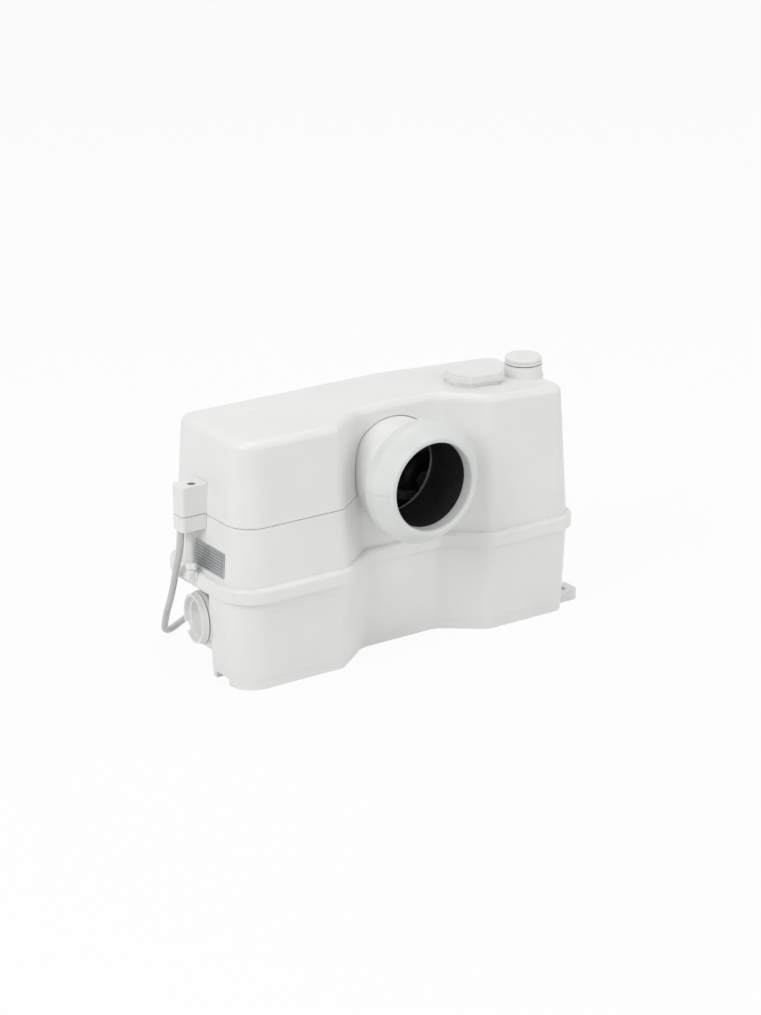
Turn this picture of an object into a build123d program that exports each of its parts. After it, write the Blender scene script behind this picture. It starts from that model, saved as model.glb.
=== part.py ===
from build123d import *
import math
import os

# Macerator toilet pump: a two-part plastic tank with a dry motor compartment
# under a screwed cover, a front inlet for the toilet, a capped top inlet, a
# capped side inlet and a discharge valve in a niche at the right rear.
# Millimetres. +X to the right, +Y to the back, +Z up. The origin is the middle
# of the footprint, on the floor.

os.makedirs("parts", exist_ok=True)

# Clearances shared by all pieces
overrun = 6.0
fit_gap = 0.3
slip_gap = 0.4
running_gap = 0.05
quarter_turn = 90.0
roof_limit = 45.0
standing = (Align.CENTER, Align.CENTER, Align.MIN)
hanging = (Align.CENTER, Align.CENTER, Align.MAX)

# Casing plan at the joint between the two tanks
casing_width = 392.0
casing_depth = 137.5
casing_front = -55.0
casing_side = casing_width / 2
casing_back = casing_front + casing_depth
recess_centre = 8.0
recess_mouth = 170.0
recess_floor = 86.0
recess_depth = 31.5
front_left_radius = 30.0
front_right_radius = 20.0
step_outer_radius = 20.0
step_inner_radius = 15.0
back_radius = 25.0

# Casing heights, walls and draft
foot_proud = 0.5
plinth_height = 10.5
plinth_inset = 0.8
rim_height = 96.0
gasket_thickness = 2.5
upper_base = rim_height + gasket_thickness
inlet_height = 180.0
top_rise = 66.0
top_height = inlet_height + top_rise
lower_draft_inset = 4.0
upper_draft_inset = 9.0
tank_wall = 3.5
cover_wall = 3.0
top_edge_radius = 8.0
belt_low = 91.0
belt_high = 105.0
belt_proud = 5.0
belt_edge_radius = 3.5
lower_draft = math.degrees(math.atan(lower_draft_inset / rim_height))
upper_draft = math.degrees(math.atan(upper_draft_inset / (top_height - upper_base)))

# Motor cover: its seam, and the roof that falls away to its right
seam_height = 163.0
seam_x = 41.0
seam_gap = 0.7
right_fall = 9.3
roof_tilt = math.degrees(math.atan(right_fall / (casing_side - seam_x)))
lip_gap = 0.5
lip_wall = 3.0
lip_drop = 13.0
lip_rise = 7.0
ledge_thickness = 3.5
side_proud = 23.0
side_reach = casing_side + side_proud

# Inlet for the toilet, with its rubber collar and lining sleeve
inlet_x = 2.4
collar_lip_y = -87.5
collar_bore_radius = 43.5
collar_lip_radius = 50.2
collar_lip_round = 3.0
collar_lip_depth = 14.0
collar_cone_radius = 59.5
collar_cone_depth = 13.5
collar_shoulder_radius = 61.0
collar_shoulder_depth = 18.0
collar_back_radius = 60.0
collar_back_depth = 30.0
neck_wall = 4.2
neck_radius = 51.0
neck_flange_radius = 58.5
neck_flange_thickness = 2.0
sleeve_wall = 2.0
sleeve_inner_y = -20.0
sleeve_rim = 1.2
sleeve_rim_width = 2.5

# Wet chamber and motor compartment
partition_x = -50.0
partition_wall = 3.0
deck_low = 108.0
deck_thickness = 3.5
deck_top = deck_low + deck_thickness
chamber_roof_drop = 14.0
chamber_roof = top_height - chamber_roof_drop
corner_cut_x = -160.0
corner_cut_y = 4.0
corner_cut_top = 85.0

# Side inlet in the cut-away corner, turned a little to the back
side_inlet_inset = 4.0
side_inlet_x = side_inlet_inset - casing_side
side_inlet_y = 25.5
side_inlet_height = 53.5
side_inlet_turn = 9.0
side_flange_radius = 26.6
side_flange_thickness = 3.0
side_socket_radius = 23.6
side_bore_radius = 20.3
side_socket_length = 39.0
side_cap_flange_radius = 25.2
side_cap_flange_thickness = 1.6
side_cap_rim_radius = 24.2
side_cap_rim_height = 5.0
side_cap_rim_wall = 2.4
side_cap_recess_depth = 16.0
side_cap_plug_length = 20.0
side_cap_notch_width = 9.0
side_cap_notch_depth = 3.5
side_cap_notch_turn = 128.0
side_seal_thickness = 1.2
side_seal_width = 2.6

# Top inlet with its push-in cap
top_inlet_x = 172.0
top_inlet_y = 2.0
top_spigot_radius = 18.8
top_spigot_bore = 16.4
top_spigot_rise = 12.46
top_land_radius = 20.2
top_land_rise = 0.3
top_cap_radius = 18.3
top_cap_height = 7.0
top_cap_round = 2.5
top_cap_groove_width = 0.8
top_cap_groove_depth = 0.7
top_cap_skirt_length = 11.0
top_cap_skirt_wall = 2.2
top_seal_thickness = 0.9

# Vent with its carbon filter, on the falling part of the roof
filter_to_top_inlet = 58.5
filter_x = top_inlet_x - filter_to_top_inlet
filter_y = 5.5
filter_length = 56.0
filter_width = 44.0
filter_corner = 10.0
filter_rim_height = 2.8
filter_rim_inset = 2.2
filter_lid_thickness = 7.0
filter_lid_gap = 0.9
filter_lid_step_inset = 1.4
filter_lid_step = 2.4
filter_port_length = 38.0
filter_port_width = 26.0
filter_pocket_depth = 20.0
filter_pocket_wall = 2.0
filter_block_height = 14.0
filter_vent_radius = 2.2
filter_vent_spacing = 8.0
filter_vent_columns = 4
filter_vent_rows = 3
filter_skirt = 5.0
filter_skirt_wall = 1.8

# Cable housing on the left side of the cover
housing_front = 10.0
housing_back = 31.0
housing_top = 195.0
housing_low = 150.0
housing_split = 165.0
housing_wall = 1.8
housing_radius = 3.5
housing_rear_radius = 6.5
housing_edge_radius = 1.6
clamp_screw_inset = 14.5
clamp_screw_x = clamp_screw_inset - side_reach
clamp_screw_y = 16.4
cable_inset = 7.0
cable_x = cable_inset - side_reach
cable_y = 24.0
relief_radius = 4.2
relief_flange_radius = 4.9
relief_flange_thickness = 2.5
relief_tip_radius = 3.9
relief_length = 24.0

# Niche at the right rear, with the discharge valve
niche_x = 148.0
niche_y = 18.0
niche_low = 106.5
niche_top = 190.0
valve_y = 50.0
valve_height = 150.0
valve_flange_radius = 28.6
valve_flange_thickness = 4.0
valve_radius = 22.0
valve_wall = 3.0
valve_length = 37.0
valve_end_wall = 3.0
valve_seat_thickness = 4.0
outlet_radius = 16.0
outlet_bore = 13.0
flap_radius = 14.0
flap_thickness = 3.0
flap_pin_rise = 14.5
flap_pin_radius = 1.5
flap_knuckle_radius = 3.3
flap_knuckle_width = 8.0
valve_screw_circle = 25.2
valve_screw_count = 3
valve_screw_start = 90
valve_screw_radius = 1.5
valve_screw_head_radius = 2.6
valve_screw_head_height = 1.6
valve_screw_length = 9.0
valve_seal_thickness = 1.0

# Riser pipe in the wet chamber
riser_radius = 10.0
riser_bore = 7.6
riser_x = 64.0
riser_bend = 18.0
coupling_wall = 3.0
coupling_length = 18.0
bracket_plate = 3.0
bracket_width = 24.0
bracket_low = 118.0
bracket_high = 158.0
bracket_leg_width = 9.0

# Motor and pump on one upright shaft
motor_x = -108.0
motor_y = 14.0
mount_ring_thickness = 3.0
mount_ring_radius = 49.0
mount_ring_bore = 24.0
motor_flange_thickness = 4.0
motor_ear_circle = 50.0
motor_ear_radius = 6.5
motor_ear_turn = 60.0
motor_ear_count = 3
motor_radius = 44.0
motor_wall = 2.0
motor_height = 78.0
motor_cap_thickness = 4.0
motor_rib_count = 16
motor_rib_width = 2.0
motor_rib_depth = 1.6
bearing_radius = 13.0
bearing_height = 9.0
bearing_boss_wall = 4.0
bearing_shoulder = 1.5
stator_height = 46.0
stator_bore = 28.8
stator_lift = 15.0
winding_height = 7.0
winding_radius = 39.0
winding_bore = 30.5
rotor_gap = 0.7
shaft_radius = 6.0
shaft_low = 39.5
seal_radius = 13.5
seal_boss_wall = 3.5
seal_height = 11.0
pump_radius = 43.0
pump_wall = 4.0
pump_low = 56.0
pump_high = 86.0
pump_eye_radius = 22.0
pump_column_radius = 25.0
pump_column_wall = 4.0
pump_flange_radius = 37.0
pump_flange_thickness = 4.0
outlet_offset = 36.0
outlet_tube_radius = 13.2
outlet_tube_length = 52.0
outlet_socket_depth = 10.0
impeller_radius = 33.0
impeller_plate = 3.0
impeller_hub_radius = 11.0
impeller_blade_height = 13.0
impeller_blade_reach = 32.2
impeller_blade_width = 3.0
impeller_blade_count = 6
impeller_lift = 2.0
cutter_ring_radius = 30.0
cutter_ring_bore = 23.0
cutter_ring_height = 15.0
cutter_slot_count = 12
cutter_slot_width = 4.0
cutter_slot_height = 9.0
cutter_gap = 0.8
cutter_blade_width = 8.0
cutter_blade_height = 6.0
cutter_hub_radius = 9.5
cutter_nut_width = 13.0
cutter_nut_height = 5.0
cutter_nut_sides = 6
pump_screw_radius = 2.0
pump_screw_head_radius = 3.8
pump_screw_head_height = 2.6
pump_screw_circle = 31.0
pump_screw_count = 3

# Level switch over its dip tube
switch_x = -160.0
switch_y = -28.0
dip_radius = 13.0
dip_wall = 2.0
dip_low = 18.0
dip_collar_radius = 15.5
dip_collar_height = 4.0
switch_radius = 14.3
switch_height = 17.0
switch_wall = 2.2
switch_port_radius = 7.5
diaphragm_thickness = 1.2
diaphragm_lift = 6.0
plunger_radius = 2.4
plunger_length = 11.0
micro_length = 20.0
micro_width = 10.0
micro_height = 12.0
micro_pocket_radius = 3.6
micro_pocket_depth = 5.5

# Electrical pieces in the motor compartment
capacitor_x = -163.0
capacitor_y = 53.0
capacitor_radius = 13.5
capacitor_height = 54.0
capacitor_tag = 5.0
capacitor_clip_wall = 1.6
capacitor_clip_height = 12.0
board_thickness = 1.6
board_low = 128.0
board_height = 70.0
board_front = -22.0
board_width = 80.0
board_standoff = 7.0
board_standoff_radius = 3.0
relay_length = 16.0
relay_width = 12.0
relay_depth = 6.0
relay_height_share = 0.62
terminal_x = -180.0
terminal_y = 18.0
terminal_length = 30.0
terminal_width = 13.0
terminal_height = 13.0
terminal_way_count = 5
terminal_way_radius = 1.8
terminal_way_depth = 6.0

# Drain hose on the left, under the cable housing
drain_x = -205.2
drain_y = 19.5
drain_port_height = 101.3
drain_pad_radius = 6.4
drain_pad_thickness = 1.8
drain_port_radius = 2.2
drain_port_bore = 1.2
drain_nipple_radius = 2.5
drain_nipple_top = 118.0
drain_hose_radius = 4.0
drain_hose_low = 108.0
drain_clip_wall = 1.2
drain_clip_height = 6.0
drain_clip_low = 110.0
drain_clip_ear = 4.5
drain_clip_ear_width = 2.4
drain_plug_head = 2.0
drain_plug_length = 9.0

# Base: bracket pockets, bracket and feet
pocket_width = 23.0
pocket_depth = 16.0
pocket_height = 7.0
left_pocket_y = -13.0
right_pocket_y = -22.5
bracket_tab_width = 27.0
bracket_tab_height = 10.0
bracket_tab_radius = 7.0
bracket_tongue_gap = 0.4
bracket_slot_length = 13.0
bracket_slot_radius = 3.25
bracket_slot_inset = 13.0
bracket_slot_x = side_reach - bracket_slot_inset
bracket_screw_radius = 2.0
bracket_screw_head_radius = 3.6
bracket_screw_head_height = 1.6
foot_radius = 11.0
foot_thickness = 2.5
foot_inset_x = 32.0
foot_inset_y = 26.0

# Blank plate where a rating label would be
plate_front = -25.0
plate_back = 29.0
plate_low = 109.5
plate_high = 135.0
plate_thickness = 0.5
plate_radius = 2.0

# Cover screws
cover_screw_radius = 2.0
cover_screw_head_radius = 3.8
cover_screw_head_height = 2.2
cover_screw_spare = 0.7
clamp_screw_reach = 10.0
cover_screw_height = 167.0
cover_screw_xs = (-150.0, -10.0)

# Mains cord: route by hand, then a coil behind the casing
cord_diameter = 6.5
cord_radius = cord_diameter / 2
cord_floor = cord_radius + running_gap
bend_share = 0.45
cord_route = [
    (cable_x, cable_y, housing_low),
    (-212.4, 26.2, 127.0),
    (-210.2, 38.4, 105.0),
    (-204.3, 54.0, 82.0),
    (-199.0, 71.0, 57.5),
    (-192.9, 89.6, 36.7),
    (-183.0, 114.0, cord_floor),
    (-146.0, 136.5, cord_floor),
    (-115.0, 158.0, cord_floor),
    (-92.0, 168.0, cord_floor),
    (-62.0, 168.0, cord_floor),
]
coil_radius = 40.0
coil_pitch = 7.2
coil_turns = 4
coil_layer_rise = 7.2
coil_tail = 2 * cord_diameter
coil_steps = 64
coil_steps_per_turn = 4
coil_samples = 400
coil_skip_share = 4
plug_relief_length = 28.0
plug_relief_radius = 4.0
plug_relief_end_radius = 5.6
plug_radius = 19.0
plug_height = 30.0
plug_round = 2.0
plug_pin_radius = 2.4
plug_pin_length = 19.0
plug_pin_spacing = 19.0
plug_pin_round = 1.0


def plan_corners(inset):
    """Corners and corner radii of the casing's plan, drawn in from the joint's plan."""
    mouth_left = recess_centre - recess_mouth / 2
    mouth_right = recess_centre + recess_mouth / 2
    floor_left = recess_centre - recess_floor / 2
    floor_right = recess_centre + recess_floor / 2
    recess_y = casing_front + recess_depth
    plan = [
        (-casing_side, casing_front, front_left_radius),
        (mouth_left, casing_front, step_outer_radius),
        (floor_left, recess_y, step_inner_radius),
        (floor_right, recess_y, step_inner_radius),
        (mouth_right, casing_front, step_outer_radius),
        (casing_side, casing_front, front_right_radius),
        (casing_side, casing_back, back_radius),
        (-casing_side, casing_back, back_radius),
    ]
    points = [Vector(x, y) for x, y, _ in plan]
    corners = []
    radii = []
    for index, (_, _, radius) in enumerate(plan):
        before = (points[index] - points[index - 1]).normalized()
        after = (points[(index + 1) % len(points)] - points[index]).normalized()
        inward = before.rotate(Axis.Z, quarter_turn) + after.rotate(Axis.Z, quarter_turn)
        corner = points[index] + inward * (inset / (1 + before.dot(after)))
        corners.append((corner.X, corner.Y))
        outer_corner = before.cross(after).Z > 0
        radii.append(radius - inset if outer_corner else radius + inset)
    return corners, radii


def plan_block(height, rise, inset, draft=0):
    """Solid with the casing's plan that stands on a height and leans in by a draft angle."""
    corners, radii = plan_corners(inset)
    with BuildPart() as block:
        with BuildSketch(Plane.XY.offset(height)):
            with BuildLine():
                FilletPolyline(*corners, radius=radii, close=True)
            make_face()
        extrude(amount=rise, taper=draft)
    return block.part


def lower_inset(height):
    """How far the lower tank's wall stands in from the joint's plan at a height."""
    return lower_draft_inset * (rim_height - height) / rim_height


def upper_inset(height):
    """How far the upper casing's wall stands in from the joint's plan at a height."""
    return upper_draft_inset * (height - upper_base) / (top_height - upper_base)


def roof_height(x):
    """Height of the casing's roof at a place across it."""
    return top_height - right_fall * max(x - seam_x, 0) / (casing_side - seam_x)


def upper_hull(inset, roof_drop, edge_radius=0):
    """Upper casing's outer form, or one inside it, with the roof that falls to the right."""
    rise = top_height - roof_drop - upper_base
    body = plan_block(upper_base, rise, inset, upper_draft)
    with BuildPart() as hull:
        add(body)
        with BuildSketch(Plane.XZ.offset(-casing_back - overrun)):
            with BuildLine():
                Polyline(
                    (seam_x, top_height - roof_drop),
                    (casing_side + overrun, roof_height(casing_side + overrun) - roof_drop),
                    (casing_side + overrun, top_height + overrun),
                    (seam_x, top_height + overrun),
                    close=True,
                )
            make_face()
        extrude(amount=casing_depth + 2 * overrun, mode=Mode.SUBTRACT)
        if edge_radius > 0:
            roof = [face for face in hull.faces() if face.normal_at().Z > math.cos(math.radians(roof_limit))]
            rim = [edge for face in roof for edge in face.edges()]
            fillet([edge for edge in rim if edge.bounding_box().size.X > fit_gap], radius=edge_radius)
    return hull.part


def block_between(low, high):
    """Rectangular block from its lowest corner to its highest."""
    with BuildPart() as block:
        with Locations(low):
            size = [top - bottom for bottom, top in zip(low, high)]
            Box(*size, align=(Align.MIN, Align.MIN, Align.MIN))
    return block.part


def cover_screw_face(x):
    """Plane on the leaning back wall where a cover screw sits."""
    return Plane(
        origin=(x, casing_back - upper_inset(cover_screw_height), cover_screw_height),
        x_dir=(1, 0, 0),
        z_dir=Vector(0, 1, 0).rotate(Axis.X, upper_draft),
    )


def save(part, name):
    """Label a finished piece and write it to its own file."""
    part.label = name
    export_step(part, f"parts/{name}.step")


# Screw places about the motor's axis
motor_axis = Location((motor_x, motor_y, 0))
ear_ring = PolarLocations(motor_ear_circle, motor_ear_count, start_angle=motor_ear_turn).locations
ear_places = [motor_axis * place for place in ear_ring]
pump_screw_ring = PolarLocations(pump_screw_circle, pump_screw_count).locations
pump_screw_places = [motor_axis * place for place in pump_screw_ring]

# Depth of the cover screws, short of the far side of the lip
cover_screw_reach = cover_wall + lip_gap + lip_wall - cover_screw_spare

# Whole-width reach for blocks that cut the casing
reach = casing_side + side_reach
far_left = -reach
far_right = reach
far_front = casing_front - overrun
far_back = casing_back + overrun


# Lower tank
# Thin-walled tub with a plinth step, a cut-away rear left corner that holds the
# side inlet, and a pocket each side for a fixing bracket.
plinth_block = plan_block(foot_proud, plinth_height - foot_proud, lower_inset(plinth_height) + plinth_inset)
lower_block = plan_block(plinth_height, rim_height - plinth_height, lower_inset(plinth_height), -lower_draft)
cavity_floor = foot_proud + tank_wall
lower_cavity = plan_block(
    cavity_floor, rim_height + overrun - cavity_floor, lower_inset(cavity_floor) + tank_wall, -lower_draft
)
corner_cut = block_between((far_left, corner_cut_y, -overrun), (corner_cut_x, far_back, corner_cut_top))
corner_lining = block_between(
    (far_left, corner_cut_y - tank_wall, -overrun),
    (corner_cut_x + tank_wall, far_back, corner_cut_top + tank_wall),
)
plinth_side = casing_side - lower_inset(plinth_height) - plinth_inset
pocket_x = plinth_side - pocket_depth
pockets = [(-1, left_pocket_y), (1, right_pocket_y)]
side_direction = Vector(-1, 0, 0).rotate(Axis.Z, -side_inlet_turn)
side_inlet_place = (side_inlet_x, side_inlet_y, side_inlet_height)
side_face = Plane(origin=side_inlet_place, x_dir=(0, 0, 1), z_dir=side_direction)
with BuildPart() as lower_cavity_shaped:
    add(lower_cavity)
    add(corner_lining, mode=Mode.SUBTRACT)
    for side, pocket_y in pockets:
        with Locations((side * (pocket_x + pocket_depth), pocket_y, 0)):
            Box(
                2 * (pocket_depth + tank_wall),
                pocket_width + 2 * tank_wall,
                pocket_height + tank_wall,
                align=standing,
                mode=Mode.SUBTRACT,
            )
feet_places = [
    (side * (casing_side - foot_inset_x), y)
    for side, y in (
        (-1, casing_front + foot_inset_y + foot_radius),
        (1, casing_front + foot_inset_y + foot_radius),
        (1, casing_back - foot_inset_y),
    )
] + [(corner_cut_x + foot_inset_y, casing_back - foot_inset_y)]
with BuildPart() as lower_tank:
    add(plinth_block)
    add(lower_block)
    add(corner_cut, mode=Mode.SUBTRACT)
    add(lower_cavity_shaped.part, mode=Mode.SUBTRACT)
    with BuildSketch(side_face):
        Circle(side_flange_radius)
    extrude(amount=-side_flange_thickness)
    with BuildSketch(side_face):
        Circle(side_socket_radius)
    extrude(amount=-side_socket_length)
    with BuildSketch(side_face.offset(overrun)):
        Circle(side_bore_radius)
    extrude(amount=-side_socket_length - 2 * overrun, mode=Mode.SUBTRACT)
    for side, pocket_y in pockets:
        with Locations((side * (pocket_x + pocket_depth), pocket_y, -overrun)):
            Box(2 * pocket_depth, pocket_width, pocket_height + overrun, align=standing, mode=Mode.SUBTRACT)
    with BuildSketch(Plane.XY.offset(foot_thickness)):
        with Locations(*feet_places):
            Circle(foot_radius + fit_gap)
    extrude(amount=-foot_thickness - overrun, mode=Mode.SUBTRACT)
save(lower_tank.part, "lower_tank")


# Rubber feet, let into the floor of the tank
with BuildPart() as rubber_feet:
    with BuildSketch(Plane.XY):
        with Locations(*feet_places):
            Circle(foot_radius)
    extrude(amount=foot_thickness)
save(rubber_feet.part, "rubber_feet")


# Tank gasket
gasket_outer = plan_block(rim_height, gasket_thickness, slip_gap)
gasket_inner = plan_block(rim_height, gasket_thickness, tank_wall)
with BuildPart() as tank_gasket:
    add(gasket_outer)
    add(gasket_inner, mode=Mode.SUBTRACT)
save(tank_gasket.part, "tank_gasket")


# Upper tank
# The wet chamber's outer walls and falling roof on the right, the walls that the
# cover hides on the left, the motor deck, the partition and the inlet neck.
outer_hull = upper_hull(0, 0, top_edge_radius)
tank_hollow = upper_hull(tank_wall, tank_wall, top_edge_radius - tank_wall)
inner_skin = upper_hull(cover_wall + lip_gap, top_height - chamber_roof - tank_wall)
chamber_hollow = upper_hull(cover_wall + lip_gap + lip_wall, top_height - chamber_roof)
lip_outer = upper_hull(cover_wall + lip_gap, 0)
lip_inner = upper_hull(cover_wall + lip_gap + lip_wall, 0)
belt_block = plan_block(belt_low, belt_high - belt_low, -belt_proud)
belt_hollow = plan_block(belt_low - overrun, upper_base - belt_low + overrun, -slip_gap)
belt_opening = plan_block(belt_low, belt_high - belt_low, tank_wall)
cover_space = block_between((far_left, far_front, seam_height), (seam_x, far_back, top_height + overrun))
lip_low = seam_height - lip_drop
lip_high = seam_height + lip_rise
lip_space = block_between((far_left, far_front, lip_low), (partition_x, far_back, lip_high))
ledge_space = block_between((far_left, far_front, lip_low - ledge_thickness), (seam_x, far_back, lip_low))
skin_space = block_between(
    (partition_x, far_front, lip_low), (seam_x + seam_gap + tank_wall, far_back, chamber_roof + tank_wall)
)
frame_space = block_between(
    (seam_x + seam_gap, far_front, lip_low), (seam_x + seam_gap + tank_wall, far_back, top_height)
)
deck_space = block_between((far_left, far_front, deck_low), (partition_x, far_back, deck_top))
partition_space = block_between(
    (partition_x, far_front, deck_low), (partition_x + partition_wall, far_back, chamber_roof + tank_wall)
)
inlet_face = Plane(origin=(inlet_x, collar_lip_y, inlet_height), x_dir=(1, 0, 0), z_dir=(0, -1, 0))
neck_front = collar_lip_depth + slip_gap
top_spigot_top = roof_height(top_inlet_x) + top_spigot_rise
top_land = roof_height(top_inlet_x - top_land_radius) + top_land_rise
neck_flange_back = collar_back_depth + slip_gap + neck_flange_thickness
neck_length = casing_front + recess_depth + upper_inset(inlet_height) + tank_wall + lip_wall - collar_lip_y
roof_normal = Vector(0, 0, 1).rotate(Axis.Y, roof_tilt)
roof_slope = Vector(1, 0, 0).rotate(Axis.Y, roof_tilt)
filter_face = Plane(origin=(filter_x, filter_y, roof_height(filter_x)), x_dir=roof_slope, z_dir=roof_normal)
niche_block = block_between((niche_x, niche_y, niche_low), (far_right, far_back, niche_top))
niche_lining = block_between(
    (niche_x - tank_wall, niche_y - tank_wall, niche_low - tank_wall),
    (far_right, far_back, niche_top + tank_wall),
)
valve_face = Plane(origin=(niche_x, valve_y, valve_height), x_dir=(0, 1, 0), z_dir=(1, 0, 0))
wall_port_radius = riser_radius + slip_gap
left_wall_x = -casing_side - belt_proud
drain_face = Plane(origin=(left_wall_x, drain_y, drain_port_height), x_dir=(0, 0, 1), z_dir=(-1, 0, 0))
switch_place = (switch_x, switch_y, deck_low)


def eight_sided(length, width, corner):
    """Half outline of an elongated octagon, as corner points in order."""
    end_x = length / 2
    end_y = width / 2
    return [
        (-end_x, -end_y + corner),
        (-end_x + corner, -end_y),
        (end_x - corner, -end_y),
        (end_x, -end_y + corner),
        (end_x, end_y - corner),
        (end_x - corner, end_y),
        (-end_x + corner, end_y),
        (-end_x, end_y - corner),
    ]


with BuildPart() as casing_shell:
    add(outer_hull)
    add(tank_hollow, mode=Mode.SUBTRACT)
    add(cover_space, mode=Mode.SUBTRACT)

with BuildPart() as belt:
    add(belt_block)
    fillet(belt.faces().sort_by(Axis.Z)[-1].edges(), radius=belt_edge_radius)
    add(belt_hollow, mode=Mode.SUBTRACT)
    add(belt_opening, mode=Mode.SUBTRACT)

with BuildPart() as inner_walls:
    add(inner_skin)
    add(skin_space, mode=Mode.INTERSECT)
    add(chamber_hollow, mode=Mode.SUBTRACT)

with BuildPart() as seam_frame:
    add(outer_hull)
    add(frame_space, mode=Mode.INTERSECT)
    add(chamber_hollow, mode=Mode.SUBTRACT)

with BuildPart() as cover_lip:
    add(lip_outer)
    add(lip_space, mode=Mode.INTERSECT)
    add(lip_inner, mode=Mode.SUBTRACT)

with BuildPart() as cover_ledge:
    add(upper_hull(tank_wall / 2, 0))
    add(ledge_space, mode=Mode.INTERSECT)
    add(lip_inner, mode=Mode.SUBTRACT)

with BuildPart() as deck:
    add(upper_hull(tank_wall / 2, 0))
    add(deck_space, mode=Mode.INTERSECT)

with BuildPart() as partition_low:
    add(upper_hull(tank_wall / 2, 0))
    add(partition_space, mode=Mode.INTERSECT)
    add(block_between((far_left, far_front, lip_low), (far_right, far_back, top_height)), mode=Mode.SUBTRACT)

with BuildPart() as partition_high:
    add(inner_skin)
    add(partition_space, mode=Mode.INTERSECT)

with BuildPart() as niche_walls:
    add(outer_hull)
    add(niche_lining, mode=Mode.INTERSECT)

with BuildPart() as upper_tank:
    add(casing_shell.part)
    add(belt.part)
    add(inner_walls.part)
    add(seam_frame.part)
    add(cover_lip.part)
    add(cover_ledge.part)
    add(deck.part)
    add(partition_low.part)
    add(partition_high.part)
    add(niche_walls.part)
    add(niche_block, mode=Mode.SUBTRACT)
    with BuildSketch(inlet_face.offset(-neck_front)):
        Circle(neck_radius)
    extrude(amount=-neck_length + neck_front)
    with BuildSketch(inlet_face.offset(-neck_flange_back)):
        Circle(neck_flange_radius)
    extrude(amount=neck_flange_thickness)
    with BuildSketch(inlet_face):
        Circle(neck_radius - neck_wall)
    extrude(amount=-neck_length - overrun, mode=Mode.SUBTRACT)
    with Locations((top_inlet_x, top_inlet_y, top_land)):
        Cylinder(top_land_radius, top_land - chamber_roof, align=hanging)
    with Locations((top_inlet_x, top_inlet_y, top_spigot_top)):
        Cylinder(top_spigot_radius, top_spigot_top - chamber_roof, align=hanging)
    with Locations((top_inlet_x, top_inlet_y, chamber_roof)):
        Cylinder(top_spigot_bore, top_spigot_top - chamber_roof + overrun, align=standing, mode=Mode.SUBTRACT)
    rim_length = filter_length - 2 * filter_rim_inset
    rim_width = filter_width - 2 * filter_rim_inset
    with BuildSketch(filter_face.offset(-tank_wall)):
        with BuildLine():
            Polyline(*eight_sided(rim_length, rim_width, filter_corner), close=True)
        make_face()
    extrude(amount=filter_rim_height + tank_wall)
    with BuildSketch(filter_face):
        Rectangle(filter_port_length + 2 * filter_pocket_wall, filter_port_width + 2 * filter_pocket_wall)
    extrude(amount=-filter_pocket_depth)
    with BuildSketch(filter_face.offset(filter_rim_height)):
        Rectangle(filter_port_length, filter_port_width)
    extrude(amount=-filter_rim_height - filter_pocket_depth + filter_pocket_wall, mode=Mode.SUBTRACT)
    with BuildSketch(filter_face.offset(-filter_pocket_depth - overrun)):
        with GridLocations(filter_vent_spacing, filter_vent_spacing, filter_vent_columns, filter_vent_rows):
            Circle(filter_vent_radius)
    extrude(amount=filter_pocket_wall + 2 * overrun, mode=Mode.SUBTRACT)
    with BuildSketch(valve_face.offset(-tank_wall - overrun)):
        Circle(wall_port_radius)
    extrude(amount=tank_wall + 2 * overrun, mode=Mode.SUBTRACT)
    with BuildSketch(valve_face.offset(overrun)):
        with PolarLocations(valve_screw_circle, valve_screw_count, start_angle=valve_screw_start):
            Circle(valve_screw_radius + running_gap)
    extrude(amount=-tank_wall - 2 * overrun, mode=Mode.SUBTRACT)
    with BuildSketch(drain_face.offset(overrun)):
        Circle(drain_port_radius + running_gap)
    extrude(amount=-belt_proud - tank_wall - 2 * overrun, mode=Mode.SUBTRACT)
    with Locations((motor_x, motor_y, deck_top - seal_height)):
        Cylinder(seal_radius + seal_boss_wall, seal_height, align=standing)
        Cylinder(seal_radius + running_gap, seal_height + overrun, align=standing, mode=Mode.SUBTRACT)
    with BuildSketch(Plane.XY.offset(deck_low - overrun)):
        with Locations(ear_places + pump_screw_places):
            Circle(pump_screw_radius + running_gap)
    extrude(amount=deck_thickness + 2 * overrun, mode=Mode.SUBTRACT)
    for x in cover_screw_xs:
        with BuildSketch(cover_screw_face(x)):
            Circle(cover_screw_radius + running_gap)
        extrude(amount=-cover_screw_reach - running_gap, mode=Mode.SUBTRACT)
    with Locations(switch_place):
        Cylinder(switch_port_radius, deck_thickness + overrun, mode=Mode.SUBTRACT)
    standoff_plane = Plane(
        origin=(partition_x, board_front + board_width / 2, board_low + board_height / 2),
        x_dir=(0, 1, 0),
        z_dir=(-1, 0, 0),
    )
    with BuildSketch(standoff_plane):
        with GridLocations(board_width - 2 * relay_depth, board_height - 2 * relay_depth, 2, 2):
            Circle(board_standoff_radius)
    extrude(amount=board_standoff)
save(upper_tank.part, "upper_tank")


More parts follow.
